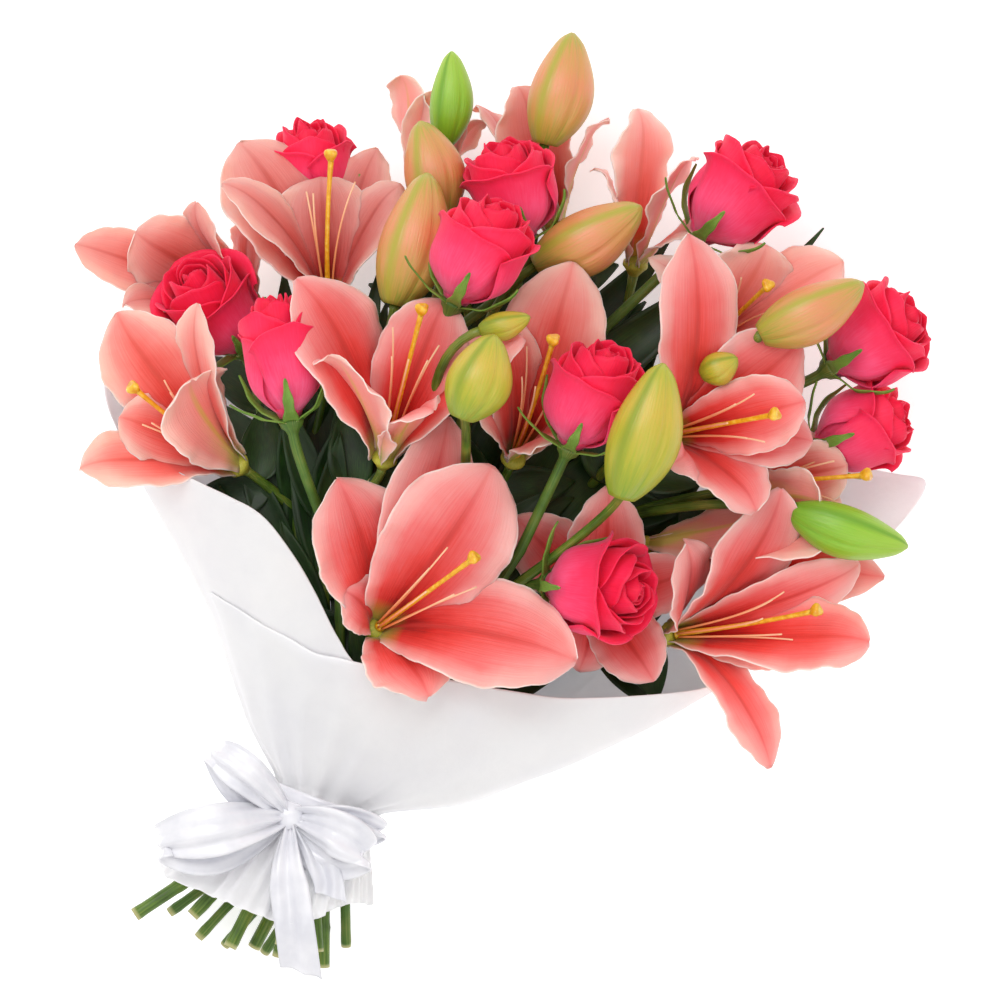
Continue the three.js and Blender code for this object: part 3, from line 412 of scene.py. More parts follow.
def noted_drift_and_shade(sheet, value):
    """Note on a sheet how far its colour drifts, for its material to read; on a rose it is how far
    in the petal lies, and darkens it as painted shade.
    """
    drift_and_shade = sheet.data.attributes.new("drift_and_shade", "FLOAT", "POINT")
    for vertex in sheet.data.vertices:
        drift_and_shade.data[vertex.index].value = value
    return sheet


def throat_of(name):
    """Where a lily's throat is, and the way it faces."""
    base, axis, *_ = LILIES[name]
    return Vector(base), Vector(axis).normalized()


def tepal_outline(t):
    """Half-width along a tepal: a claw, widest past the middle, then a blunt point."""
    if t < WIDEST:
        return mix(CLAW_WIDTH, 1, math.sin(math.pi / 2 * t / WIDEST) ** 1.1)
    return max(0.02, 1 - min(1, (t - WIDEST) / (1 - WIDEST)) ** 2) ** 0.84


def angle_to_level(side, tangent):
    """The angle about a tepal's own line that would lay it level, face or back to the sky."""
    level = tangent.cross(UP)
    angle = math.atan2(tangent.cross(side).dot(level), side.dot(level))
    return angle - math.copysign(math.pi, angle) if abs(angle) > math.pi / 2 else angle


def tepal(base, axis, tip, width, rank, number, arch=0.16, twist=None, curl=-0.25):
    """One tepal: arched out of the throat, cupped at its foot, ruffled and rolled at its tip."""
    reach = tip - base
    length = reach.length
    radial = (reach - axis * reach.dot(axis)).normalized()
    side = axis.cross(radial).normalized()
    root = 2.6 + 0.9 * rank
    lift = 4 - 1.6 * rank
    curve = (
        base + radial * root + axis * (2 - 0.5 * rank),
        base + radial * (2 * root) + axis * (0.32 * length + lift),
        base.lerp(tip, 0.66) + axis * (arch * length + lift),
        tip,
    )
    phase = 1.7 * number
    frilled = (width / 60) ** 1.5
    if twist is None:
        twist = FACE_UP * angle_to_level(side, (tip - curve[2]).normalized())

    def surface(u, t):
        x = 2 * u - 1
        half = width / 2 * tepal_outline(t)
        tangent = heading(curve, t)
        sideways = Quaternion(tangent, twist * t) @ side
        inward = tangent.cross(sideways).normalized()
        bend = mix(mix(INNER_CUP, OUTER_CUP, rank / 5), curl, t)
        bend = bend if abs(bend) > 0.02 else 0.02
        across = half * math.sin(bend * x) / bend
        rise = half * (1 - math.cos(bend * x)) / bend
        ruffle = EDGE_WAVE * x * x * math.sin(2.4 * math.pi * t + (1.1 if x > 0 else 2.9)) * t
        late = math.sin(math.pi * min(1, 0.15 + t)) if t < 0.35 else 1
        frill = FRILL * frilled * abs(x) ** 3 * math.sin(17 * t + phase + 1.3 * x) * late
        frill += FINE_FRILL * frilled * x ** 4 * math.sin(43 * t + 2.3 * phase) * late
        pleats = PLEATS * math.cos(9 * x * math.pi / 2) * math.sin(math.pi * t)
        swell = SWELL * math.sin(5 * t + phase) * (1 - x * x)
        groove = MIDRIB_DEPTH * math.exp(-((x / 0.16) ** 2))
        groove *= math.sin(math.pi * min(1, t * 1.02)) ** 0.8
        roll = TIP_ROLL * max(0, (t - 0.72) / 0.28) ** 2 + EDGE_ROLL * x * x * max(0, t - 0.45)
        ragged = RAGGED_EDGE * math.sin(26 * t + 3 * phase + x) * abs(x) ** 5
        return bezier(curve, t) + sideways * (across + math.copysign(ragged, x)) \
            + inward * (rise + ruffle + frill + pleats + swell - groove - roll)

    # Each tepal's colour drifts a little from its neighbour's.
    return noted_drift_and_shade(grid_of(20, 34, surface), 0.5 + 0.5 * math.sin(2.3 * number + rank))


def layer_rank(base, axis, tips, k):
    """How many of the tepals stand closer to the axis than this one."""
    spread = [(tip - base).angle(axis) for tip in tips]
    return sum(angle < spread[k] for angle in spread)


def summed(tree, total, *terms):
    """A sum of values, each times its share."""
    for value, share in terms:
        total = put(tree, "Math", {0: value, 1: share, 2: total}, operation="MULTIPLY_ADD")
    return total


def blended(tree, base, code, value, start, end, at_start, at_end):
    """Lay a colour over another, by a share that runs between two values."""
    share = put(tree, "MapRange", {
        "Value": value, "From Min": start, "From Max": end, "To Min": at_start, "To Max": at_end})
    return put(tree, "Mix", {0: share, 6: base, 7: hue(code)}, out=2, data_type="RGBA")


# Lily petal: a thin living skin with a slight translucence. Colour runs along the tepal from
# the deep throat through coral to pale tips and edges, over veins 1 mm apart that fan along it,
# with soft blotches of 26 mm, and a thin near-white line on each edge is a painted highlight. Its
# papery tooth of 1 mm is in the bump, coarser than it is.
def petal_skin(name, stops, edge, rib, roughness=0.5):
    material, tree, shader = finish_of(
        name, Roughness=roughness, Subsurface_Weight=0.4, Subsurface_Scale=0.005,
        Subsurface_Radius=(1.0, 0.45, 0.35), Sheen_Weight=0.15, Sheen_Roughness=0.5,
        Specular_IOR_Level=0.35)
    uv = put(tree, "UVMap")
    place = put(tree, "TexCoord", out="Object")
    from_foot = put(tree, "SeparateXYZ", {"Vector": uv}, out="Y")
    from_side = put(tree, "SeparateXYZ", {"Vector": uv}, out="X")
    drift_and_shade = put(tree, "Attribute", out="Fac", attribute_name="drift_and_shade")
    stretched = put(tree, "Mapping", {"Vector": uv, "Scale": (26.0, 1.6, 1.0)})
    veins = put(tree, "TexNoise", {
        "Vector": stretched, "Scale": 2.6, "Detail": 4.0, "Distortion": 0.4})
    blotch = put(tree, "TexNoise", {"Vector": place, "Scale": 38.0, "Detail": 3.0})
    tooth = put(tree, "TexNoise", {"Vector": place, "Scale": 900.0, "Detail": 2.0})
    off = put(tree, "Math", {0: from_side, 1: 0.5}, operation="SUBTRACT")
    away = put(tree, "Math", {0: off}, operation="ABSOLUTE")
    along = summed(
        tree, -0.64, (veins, 0.3), (blotch, 0.34), (drift_and_shade, 0.14), (away, 0.9), (from_foot, 1.0))
    tone = put(tree, "ValToRGB", {"Fac": along}, stops)
    tone = blended(tree, tone, "#A8A53A", from_foot, 0.05, 0.17, 0.9, 0.0)
    border = summed(tree, away, (blotch, 0.12))
    tone = blended(tree, tone, edge, border, 0.36, 0.56, 0.0, 0.75)
    # A thin near-white line along each edge of the tepal: painted highlight.
    tone = blended(tree, tone, "#FFE3DA", away, 0.478, 0.497, 0.0, 0.8)
    middle = put(tree, "MapRange", {
        "Value": away, "From Min": 0.012, "From Max": 0.05, "To Min": 0.8, "To Max": 0.0})
    fade = put(tree, "MapRange", {
        "Value": from_foot, "From Min": 0.55, "From Max": 0.95, "To Min": 1.0, "To Max": 0.0})
    streak = put(tree, "Math", {0: middle, 1: fade}, operation="MULTIPLY")
    tone = put(tree, "Mix", {0: streak, 6: tone, 7: hue(rib)}, out=2, data_type="RGBA")
    wire(tree, shader, tone, (tooth, 0.1, 0.0002), (veins, 0.45, 0.0008))
    return material


# Plant skin: green living skin, smooth with a slight wax, with some 60 fibres round a stem,
# darker patches of 22 mm, and a pale, freshly cut end.
def plant_skin(name, dark, mid, light, roughness):
    material, tree, shader = finish_of(
        name, Roughness=roughness, Specular_IOR_Level=0.4, Subsurface_Weight=0.08,
        Subsurface_Scale=0.002)
    uv = put(tree, "UVMap")
    place = put(tree, "TexCoord", out="Object")
    stretched = put(tree, "Mapping", {"Vector": uv, "Scale": (16.0, 2.0, 1.0)})
    fibre = put(tree, "TexNoise", {"Vector": stretched, "Scale": 4.0, "Detail": 3.0})
    patch = put(tree, "TexNoise", {"Vector": place, "Scale": 45.0, "Detail": 3.0})
    both = summed(tree, 0.0, (fibre, 0.5), (patch, 0.5))
    tone = put(tree, "ValToRGB", {"Fac": both}, [(0.32, dark), (0.5, mid), (0.68, light)])
    from_end = put(tree, "SeparateXYZ", {"Vector": uv}, out="Y")
    tone = blended(tree, tone, "#C3BE86", from_end, 0.014, 0.02, 0.85, 0.0)
    wire(tree, shader, tone, (fibre, 0.25, 0.0004))
    return material


PETAL_SKINS = {
    "coral": petal_skin("coral lily petal face", [
        (0.0, "#A01410"), (0.14, "#D2261F"), (0.34, "#EB4541"), (0.58, "#F36C6C"),
        (0.95, "#F99E9A")], "#FCBAB4", "#C93530"),
    "salmon": petal_skin("salmon lily petal face", [
        (0.0, "#A8241A"), (0.18, "#DA3E34"), (0.42, "#EE645C"), (0.68, "#F58C84"),
        (0.95, "#FAB3A6")], "#FCC8BA", "#D24C40"),
    "blush": petal_skin("blush lily petal face", [
        (0.0, "#C84838"), (0.22, "#EE7A72"), (0.52, "#F7968F"), (0.8, "#FAB0A6"),
        (1.0, "#FCC5B9")], "#FDD0C4", "#E4766A"),
    "dusky": petal_skin("dusky lily petal face", [
        (0.0, "#8C1A16"), (0.16, "#B83A34"), (0.4, "#CC625C"), (0.68, "#DA827C"),
        (0.95, "#E59E95")], "#EDB5A8", "#AC4038"),
}
petal_back = petal_skin("lily petal underside", [
    (0.0, "#D8BC62"), (0.14, "#F0A27C"), (0.4, "#F58F86"), (0.72, "#F9A39B"),
    (1.0, "#FBBDB0")], "#FCCBBE", "#CDAE50", 0.55)
receptacle_skin = plant_skin("lily receptacle skin", "#8FA030", "#B8B840", "#D0C85A", 0.45)

for name, (*_, tint, tepals) in LILIES.items():
    base, axis = throat_of(name)
    tips = [Vector(tip) for tip, *_ in tepals]
    sheets = []
    for k, (tip, width, *ways) in enumerate(tepals):
        rank = layer_rank(base, axis, tips, k)
        sheets.append(tepal(base, axis, tips[k], width, rank, k + len(name), **dict(*ways)))
    petals = joined(sheets, f"lily_{name}", petal_back, PETAL_SKINS[tint], receptacle_skin)
    modify(petals, "SOLIDIFY", thickness=TEPAL_THICKNESS, offset=0, material_offset=1,
           material_offset_rim=0)
    cup = tube_of([(base + axis * along, axis, radius) for along, radius in (
        (-RECEPTACLE_DEPTH, PEDICEL_RADIUS + 0.6), (-4, 5.2), (-1, RECEPTACLE_RADIUS * 0.92),
        (1.4, RECEPTACLE_RADIUS * 0.9), (RECEPTACLE_HEIGHT, RECEPTACLE_RADIUS * 0.62))], 24)
    cup.data.materials.append(receptacle_skin)
    bloom = joined([petals, cup], f"lily_{name}_bloom")
    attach(bloom, "root")
    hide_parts(f"lily_{name}")

# ---------------------------------------------------------------- pistils
# Nine lilies show a pistil: a thick yellow style with a three-lobed stigma, and round it thin
# pale filaments whose anthers the florist has picked off.

PISTILS = {
    "front": (93, 153, 192), "lower_right": (298, 121, 144), "left": (-112, 255, 146),
    "upper_left": (7, 395, 134), "centre": (62, 301, 202), "middle": (140, 283, 176),
    "right": (272, 238, 180), "upper_right": (269, 316, 128), "far_right": (329, 202, 116),
}
HEROES = ("front", "lower_right", "left", "centre", "middle", "right")
FOOT_HEIGHT = 4.9
FILAMENT_SPREAD = 17
FILAMENT_RADIUS = 0.72
# The stigma's and the foot's rings: place along the style, and radius.
STIGMA = ((-5.0, 1.8), (-3.6, 2.8), (-1.8, 4.1), (0, 4.7), (1.5, 4.2), (2.4, 2.7), (1.8, 1.1))
STYLE_FOOT = ((0, 3.6), (1, 3.2), (2.4, 2.2))

# Style and stigma: moist living tissue, golden yellow with a mottle of 4 mm, and sticky
# highlights on the stigma.
style_skin, tree, shader = finish_of(
    "lily style skin", Roughness=0.3, Subsurface_Weight=0.25, Subsurface_Scale=0.003,
    Coat_Weight=0.3)
place = put(tree, "TexCoord", out="Object")
mottle = put(tree, "TexNoise", {"Vector": place, "Scale": 260.0, "Detail": 3.0})
tone = put(tree, "ValToRGB", {"Fac": mottle}, [
    (0.3, "#D8900F"), (0.55, "#E9B321"), (0.75, "#F3CF56")])
wire(tree, shader, tone, (mottle, 0.35, 0.0004))

# Filaments: thin translucent stalks, pale orange, deeper at the foot.
filament_skin, tree, shader = finish_of(
    "lily filament skin", Roughness=0.35, Subsurface_Weight=0.3, Subsurface_Scale=0.002)
uv = put(tree, "UVMap")
from_foot = put(tree, "SeparateXYZ", {"Vector": uv}, out="Y")
mottle = put(tree, "TexNoise", {"Vector": uv, "Scale": 12.0})
along = summed(tree, from_foot, (mottle, 0.4))
tone = put(tree, "ValToRGB", {"Fac": along}, [(0.2, "#E58A4A"), (0.7, "#F2A878"), (1.1, "#F7C6A0")])
wire(tree, shader, tone)


def rod_of(curve, steps, sides, radius_at):
    """A rod along a curve given by its control points."""
    rings = []
    for k in range(steps + 1):
        t = k / steps
        rings.append((bezier(curve, t), heading(curve, t), radius_at(t)))
    return tube_of(rings, sides)


for name, stigma in PISTILS.items():
    base, axis = throat_of(name)
    start = base + axis * FOOT_HEIGHT
    tip = Vector(stigma)
    length = (tip - start).length
    curve = (start, start + axis * (0.45 * length), tip)
    end = (tip - curve[1]).normalized()
    style = rod_of(curve, 24, 14, lambda t: 1.9 - 0.5 * min(1, 3 * t) + 0.5 * max(0, t - 0.8) * 5)
    lobes = tube_of([(tip + end * along, end, radius) for along, radius in STIGMA],
                    36, lambda angle, t: 0.86 + 0.16 * math.cos(3 * angle))
    foot = tube_of([(start + axis * along, axis, radius) for along, radius in STYLE_FOOT], 18)
    solid = joined([style, lobes, foot], f"pistil_{name}", style_skin)
    across = axis.cross(SIDE if abs(axis.z) > 0.9 else UP).normalized()
    threads = []
    for k in range(6 if name in HEROES else 4):
        out = Quaternion(axis, math.pi * k / 3 + 0.5) @ across
        reach = 0.72 - 0.05 * math.sin(2.6 * k + len(name))
        path = (
            start + out * 2.4 + axis * 0.8,
            start + axis * (0.5 * length) + out * 7,
            start.lerp(tip, reach) + out * FILAMENT_SPREAD * (0.85 + 0.15 * math.cos(3 * k)),
        )
        threads.append(rod_of(path, 16, 8, lambda t: FILAMENT_RADIUS - 0.2 * t))
    stamens = joined(threads, f"stamens_{name}", filament_skin)
    pistil = joined([solid, stamens], f"pistil_{name}_whole")
    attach(pistil, "root")
    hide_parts(f"pistil_{name}")

# ---------------------------------------------------------------- roses
# Ten hot-pink roses. A head is whorls of thick velvety petals wrapped round a rolled heart; the
# outer petals stand off and roll their lips out. Each grows from its own calyx and stem.

# base and top of the head, its width, how far it has opened, and its stem's slope and cut.
ROSES = {
    "top_left": ((-1, 356, 72), (-7, 409, 82), 44, 0.3, (-0.18, -0.03), 14),
    "left": ((-50, 280, 84), (-76, 320, 114), 50, 0.6, (-0.46, -0.1), 20),
    "left_front": ((-17, 236, 162), (-27, 301, 172), 43, 0.35, (-0.38, 0.38), 26),
    "upper": ((123, 345, 112), (111, 397, 128), 49, 0.4, (-0.08, 0.11), 6),
    "middle": ((81, 306, 168), (108, 358, 184), 52, 0.5, (-0.12, 0.27), 12),
    "centre": ((150, 220, 162), (174, 272, 184), 51, 0.5, (0.22, 0.44), 4),
    "upper_right": ((228, 346, 92), (268, 388, 104), 54, 0.55, (0.2, 0.075), 10),
    "right": ((309, 268, 84), (356, 298, 98), 54, 0.5, (0.42, 0.12), 0),
    "right_low": ((299, 220, 76), (350, 238, 84), 48, 0.45, (0.68, 0.1), 8),
    "front": ((138, 136, 136), (190, 132, 168), 53, 0.6, (0.38, 0.32), 0),
}
# petals, turn, inset, spread, foot, height, lip
ROSE_WHORLS = [
    (3, 0.2, 0.0, 1.2, 0.02, 0.9, 0.26), (3, 1.25, 0.1, 1.15, 0.04, 0.99, 0.2),
    (3, 0.6, 0.25, 1.15, 0.1, 1.04, 0.11), (3, 1.6, 0.4, 1.2, 0.16, 1.07, 0.05),
    (2, 0.4, 0.55, 1.6, 0.2, 1.08, 0.02), (2, 1.9, 0.68, 1.6, 0.25, 1.07, 0.0),
]
ROSE_PETAL_THICKNESS = 0.0008
HEART_TURN = 4.4 * math.pi
# The heart's core: places and radii as shares of the head's length and radius.
ROSE_CORE = ((0.01, 0.3), (0.1, 0.42), (0.5, 0.34), (0.84, 0.2))


def rose_profile(t):
    """A head's radius along it: quickly wide over the calyx, a little narrower at the mouth."""
    widening = math.sin(math.pi / 2 * min(1, t / 0.5)) ** 0.8
    return mix(0.3, 1, widening) * (1 - 0.25 * max(0, t - 0.55))


def rose_frame(base, top):
    base = Vector(base)
    axis = Vector(top) - base
    length = axis.length
    axis.normalize()
    right = axis.cross(UP).normalized()
    return base, axis, length, right, right.cross(axis)


def rose_head(name, base, top, width, opened):
    base, axis, length, right, front = rose_frame(base, top)
    radius = width / 2

    def place_at(level, angle, r):
        return base + axis * level + (right * math.cos(angle) + front * math.sin(angle)) * r

    def petal(ring, k, petals, turn, inset, spread, foot, height, lip):
        middle = turn + 2 * math.pi * k / petals + 0.3 * len(name)
        mood = math.sin(12.9 * ring + 7.3 * k + 1.7 * len(name))
        outer = max(0, 1 - ring / 3)

        def surface(u, t):
            x = 2 * u - 1
            angle = middle + spread * x * (0.5 + 0.5 * t ** 0.7)
            point = 0.05 * math.exp(-((x / 0.22) ** 2)) * (1 - opened * 0.5)
            rim = height + 0.035 * mood - 0.15 * x ** 4 - 0.03 * math.cos(3 * x + k + ring) + point
            sunk = max(inset, 0.16 - 0.5 * t) * (1 - 0.12 * opened * t)
            closing = (1 - opened) * 0.9 * max(0, t - 0.6) ** 2 * (1 if ring else 0.4)
            rolled = outer * max(0, (t - 0.8) / 0.2) ** 2
            flare = lip * (0.7 + opened + 0.3 * mood) * t ** 4 + 0.07 * rolled
            ripple = 0.02 * math.sin(5 * x + 2.1 * k + ring) * t ** 2
            reach = rose_profile(t) - sunk - closing + flare + 0.08 * x * t + ripple
            dip = 0.1 * (1 - abs(x)) * max(0, t - 0.75)
            level = length * (mix(foot, rim, t) - 0.055 * rolled)
            return place_at(level, angle, radius * max(reach - dip, 0.05))

        # Inner whorls get a higher value, so their colour darkens towards the heart: painted shade.
        return noted_drift_and_shade(grid_of(14, 20, surface), min(1, ring / 5 + 0.1 * (k % 2)))

    def spiral(u, t):
        r = radius * mix(0.05, 0.3, u) * (0.85 + 0.15 * t)
        return place_at(length * mix(0.3, 1.05 - 0.05 * u, t), HEART_TURN * u, r)

    sheets = [
        petal(ring, k, *whorl) for ring, whorl in enumerate(ROSE_WHORLS) for k in range(whorl[0])]
    # The rolled heart takes the darkest colour: painted shade.
    sheets.append(noted_drift_and_shade(grid_of(60, 8, spiral), 1.0))
    head = joined(sheets, f"rose_{name}_petals")
    modify(head, "SOLIDIFY", thickness=ROSE_PETAL_THICKNESS, offset=0)
    core = [(base + axis * (along * length), axis, share * radius) for along, share in ROSE_CORE]
    return joined([head, tube_of(core, 24)], f"rose_{name}_head")


# Rose petal: velvety living skin of a saturated hot pink, paler at the foot of the outer petals
# and darker on the inner whorls and the heart, which is painted shade, with veins 1 mm apart,
# blotches of 17 mm and a soft pile that catches the light.
rose_skin, tree, shader = finish_of(
    "hot pink rose petal", Roughness=0.55, Subsurface_Weight=0.2, Subsurface_Scale=0.004,
    Subsurface_Radius=(1.0, 0.25, 0.35), Sheen_Weight=0.35, Sheen_Roughness=0.45,
    Sheen_Tint=hue("#FF8FB0"), Specular_IOR_Level=0.3)
uv = put(tree, "UVMap")
place = put(tree, "TexCoord", out="Object")
from_foot = put(tree, "SeparateXYZ", {"Vector": uv}, out="Y")
drift_and_shade = put(tree, "Attribute", out="Fac", attribute_name="drift_and_shade")
stretched = put(tree, "Mapping", {"Vector": uv, "Scale": (20.0, 2.0, 1.0)})
veins = put(tree, "TexNoise", {"Vector": stretched, "Scale": 2.4, "Detail": 4.0, "Distortion": 0.5})
blotch = put(tree, "TexNoise", {"Vector": place, "Scale": 60.0, "Detail": 3.0})
# The sheets' noted value darkens the inner whorls and the heart: painted shade.
along = summed(tree, -0.15, (veins, 0.3), (blotch, 0.3), (drift_and_shade, 0.3), (from_foot, 0.6))
tone = put(tree, "ValToRGB", {"Fac": along}, [
    (0.08, "#FF86AC"), (0.32, "#FF5482"), (0.58, "#FC3160"), (0.85, "#F71F4C"), (1.0, "#E8123F")])
wire(tree, shader, tone, (veins, 0.4, 0.0006))

for name, (base, top, width, opened, *_) in ROSES.items():
    head = rose_head(name, base, top, width, opened)
    head.data.materials.append(rose_skin)
    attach(head, "root")
    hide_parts(f"rose_{name}")

# ---------------------------------------------------------------- peach buds
# Five ripe lily buds about to open, each on its own pedicel. A bud is six tepals folded edge to
# edge: three outer ones show, each with a raised midrib, and a groove runs between them.

# base, tip, width, and the way its pedicel arrives where that isn't the bud's own.
PEACH_BUDS = {
    "high_left": ((72, 356, 108), (60, 415, 116), 38, None),
    "left": ((45, 304, 144), (65, 383, 146), 44, (0.1, 0.6, 0.8)),
    "top": ((135, 402, 90), (152, 469, 94), 40, None),
    "middle": ((130, 328, 118), (193, 363, 132), 40, None),
    "right": ((264, 286, 138), (326, 317, 142), 36, (0.1, 0.2, 0.95)),
}
BUD_RINGS = 26
GROOVE_DEPTH = 0.045
RIB_HEIGHT = 0.03


def tepal_folds(angle, t):
    """How far a bud's skin stands out: a rib on each outer tepal, a groove between two."""
    turn = (angle / (2 * math.pi) * 3) % 1
    groove = math.exp(-((min(turn, 1 - turn) / 0.05) ** 2))
    rib = math.exp(-(((turn - 0.5) / 0.07) ** 2))
    flank = 0.05 * math.sin(math.pi * turn) ** 0.5
    return 0.945 + flank - GROOVE_DEPTH * groove + RIB_HEIGHT * rib * (1 - t)


def bud(base, tip, width):
    base, tip = Vector(base), Vector(tip)
    axis = (tip - base).normalized()
    bow = axis.cross(UP).normalized() * (0.03 * (tip - base).length)
    rings = []
    for k in range(BUD_RINGS + 1):
        t = k / BUD_RINGS
        swell = max(0.16, math.sin(math.pi * (0.08 + 0.86 * t)) ** 0.72) * (1 - 0.3 * t * t)
        swell *= (1 - max(0, (t - 0.9) / 0.1) ** 2 * 0.92) ** 0.5
        centre = base.lerp(tip, t) + bow * math.sin(math.pi * t)
        rings.append((centre, axis, width / 2 * 1.06 * swell))
    return tube_of(rings, 60, tepal_folds)


# Bud skin: the outer tepals' backs. A waxy cuticle with some 80 fine veins round the bud; the
# colour runs along it, and the midribs keep a colour of their own.
def bud_skin(name, stops, rib):
    material, tree, shader = finish_of(
        name, Roughness=0.38, Subsurface_Weight=0.2, Subsurface_Scale=0.004, Coat_Weight=0.12,
        Coat_Roughness=0.35)
    uv = put(tree, "UVMap")
    from_foot = put(tree, "SeparateXYZ", {"Vector": uv}, out="Y")
    from_seam = put(tree, "SeparateXYZ", {"Vector": uv}, out="X")
    stretched = put(tree, "Mapping", {"Vector": uv, "Scale": (34.0, 2.2, 1.0)})
    veins = put(tree, "TexNoise", {
        "Vector": stretched, "Scale": 2.4, "Detail": 3.0, "Distortion": 0.3})
    along = summed(tree, -0.25, (veins, 0.5), (from_foot, 1.0))
    tone = put(tree, "ValToRGB", {"Fac": along}, stops)
    thirds = put(tree, "Math", {0: from_seam, 1: 3.0}, operation="MULTIPLY")
    turn = put(tree, "Math", {0: thirds}, operation="FRACT")
    off = put(tree, "Math", {0: turn, 1: 0.5}, operation="SUBTRACT")
    away = put(tree, "Math", {0: off}, operation="ABSOLUTE")
    tone = blended(tree, tone, rib, away, 0.02, 0.13, 0.85, 0.0)
    wire(tree, shader, tone, (veins, 0.5, 0.0008))
    return material


peach_bud_skin = bud_skin("ripe lily bud skin", [
    (0.0, "#93A03A"), (0.22, "#C3A04E"), (0.55, "#DC9062"), (0.82, "#CE9C58"),
    (1.0, "#A9A83E")], "#A9A83A")

for name, (base, tip, width, arrive) in PEACH_BUDS.items():
    ripe = joined([bud(base, tip, width)], f"ripe_bud_{name}", peach_bud_skin)
    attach(ripe, "root")
    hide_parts(f"bud_{name}")

# ---------------------------------------------------------------- lily stems
# Seven lily stems, each crossing the tie in one spiral, as in a hand-tied bouquet. A stem forks
# into a pedicel for each bloom and bud, and keeps its leaves above the tie. Young buds are green.

# slope, fork, cut, blooms, peach buds, green buds, leaves (place on the stem, tip, width)
LILY_STEMS = {
    "left": ((-0.42, 0.03), 165, 18, ("left", "far_left", "upper_left"), (), (),
             [(90, (-62, 196, 84), 22)]),
    "centre_left": ((-0.36, 0.17), 165, 10, ("centre",), ("left", "high_left"), (),
                    [(130, (36, 330, 84), 24)]),
    "top": ((0.12, -0.042), 260, 2, ("top", "high_left"), ("top",), ("top",),
            [(170, (150, 320, 74), 26)]),
    "centre": ((0.14, 0.2), 165, 6, ("middle", "behind_rose"), ("middle",), ("centre", "small"),
               [(90, (70, 190, 112), 22)]),
    "right": ((0.44, -0.06), 205, 12, ("right", "upper_right", "high_right", "far_right"),
              ("right",), ("pale", "right"), [(96, (178, 214, 62), 24), (200, (304, 352, 66), 20)]),
    "lower_right": ((0.74, -0.025), 160, 0, ("lower_right", "side_on"), (), (),
                    [(80, (186, 128, 38), 22)]),
    "front": ((-0.1, 0.4), 88, 14, ("front",), (), ("front",), []),
}
# base, tip, width, and the way its pedicel arrives where that isn't the bud's own.
GREEN_BUDS = {
    "top": ((75, 402, 84), (79, 458, 90), 27, None),
    "centre": ((85, 236, 214), (105, 285, 222), 40, (-0.1, 0.25, 0.95)),
    "small": ((96, 288, 186), (126, 296, 190), 18, None),
    "front": ((180, 189, 200), (205, 268, 216), 44, (0.1, 0.3, 0.95)),
    "pale": ((229, 262, 146), (250, 272, 154), 21, (0, 0.1, 0.97)),
    "right": ((284, 180, 122), (353, 159, 126), 33, None),
}
BRIGHT_BUDS = ("top", "right")
ARRIVALS = {"behind_rose": (0.92, -0.35, 0.1)}
LILY_STEM_RADIUS = 4.2
STRIPPED_SHARE = 0.94
SCAR_STEP = 26
SCAR_SWELL = 0.13
PEDICEL_ROOT_RADIUS = 3.4
PEDICEL_FLARE = 0.5
STEM_BELOW_TIE = 100
SPIRAL_SIDE = 62
SPIRAL_UP = 28
MIDDLE_SLOPE = 0.15
BUD_SINK = 3
GAP = 0.3
LEAF_THICKNESS = 0.0007
LEAVES_ON_STEM = 7
LOWEST_LEAF = 52
LEAF_TURN = 2.4
LEAF_LENGTH = 92
LEAF_WIDTH = 21
LOWEST_TIP = 26
PEDICEL_LEAVES = (0.08, 0.3, 0.52, 0.74)
PEDICEL_LEAF_REACH = 62
PEDICEL_LEAF_SPREAD = 38
PEDICEL_LEAF_WIDTH = 27
PEDICEL_LEAF_DROP = 24
FAN_LEAVES = 9
FAN_STEP = 0.18
FAN_REACH = 118
FAN_WIDTH = 34

lily_stem_skin = plant_skin("lily stem skin", "#2C4213", "#587A25", "#A09C46", 0.38)
# Lily leaves: real foliage, coloured a near-black green, darker than a leaf's own, so that they
# also stand in for the shade in the gaps between the blooms: part leaf colour, part painted shade.
leaf_and_shade_skin = plant_skin("lily leaf skin and painted shade", "#0F240A", "#1A3810", "#2E541B", 0.45)
green_bud_skin = bud_skin("green lily bud skin", [
    (0.0, "#7C9C22"), (0.35, "#B0AE2E"), (0.7, "#C9B040"), (1.0, "#A8B034")], "#86981F")
bright_bud_skin = bud_skin("young lily bud skin", [
    (0.0, "#6FA51F"), (0.5, "#8CBC2B"), (1.0, "#A3C545")], "#6B9F20")


def knuckle(distance):
    """A stripped stem's share of its radius: it swells at each scar that a leaf has left."""
    from_scar = (distance / SCAR_STEP + 0.3) % 1 - 0.5
    return STRIPPED_SHARE * (1 + SCAR_SWELL * math.exp(-(from_scar / 0.07) ** 2))


def stem_line(sideways, up):
    """The straight line of a stem through the tie, by its slopes to the side and upwards."""
    crossing = TIE + SIDE * (SPIRAL_SIDE * (up - MIDDLE_SLOPE)) - UP * (SPIRAL_UP * sideways)
    slope = AXIS + SIDE * sideways + UP * up
    return lambda along: crossing + slope * along


def pedicel(start, end, axis):
    """A flower's own stalk, from the fork, arriving along its axis."""
    curve = (start, end - axis * (0.32 * (end - start).length), end)
    return rod_of(curve, 14, 12, lambda t: mix(PEDICEL_ROOT_RADIUS, PEDICEL_RADIUS, t)
                  + PEDICEL_FLARE * max(0, t - 0.9) * 10)


def leaf(start, tip, width):
    """A narrow lily leaf, arched and channelled along its midrib."""
    start, tip = Vector(start), Vector(tip)
    curve = (start, start.lerp(tip, 0.5) + UP * (0.12 * (tip - start).length), tip)

    def surface(u, t):
        x = 2 * u - 1
        sideways = heading(curve, t, 2 * STEP).cross(UP).normalized()
        half = width / 2 * max(0.05, math.sin(math.pi * t ** 0.7) ** 0.8)
        lift = 0.3 * half * x * x + 0.8 * math.sin(9 * t + 2 * x) * abs(x)
        return bezier(curve, t) + sideways * (half * x) + UP * lift

    blade = grid_of(8, 26, surface)
    modify(blade, "SOLIDIFY", thickness=LEAF_THICKNESS, offset=0)
    return blade


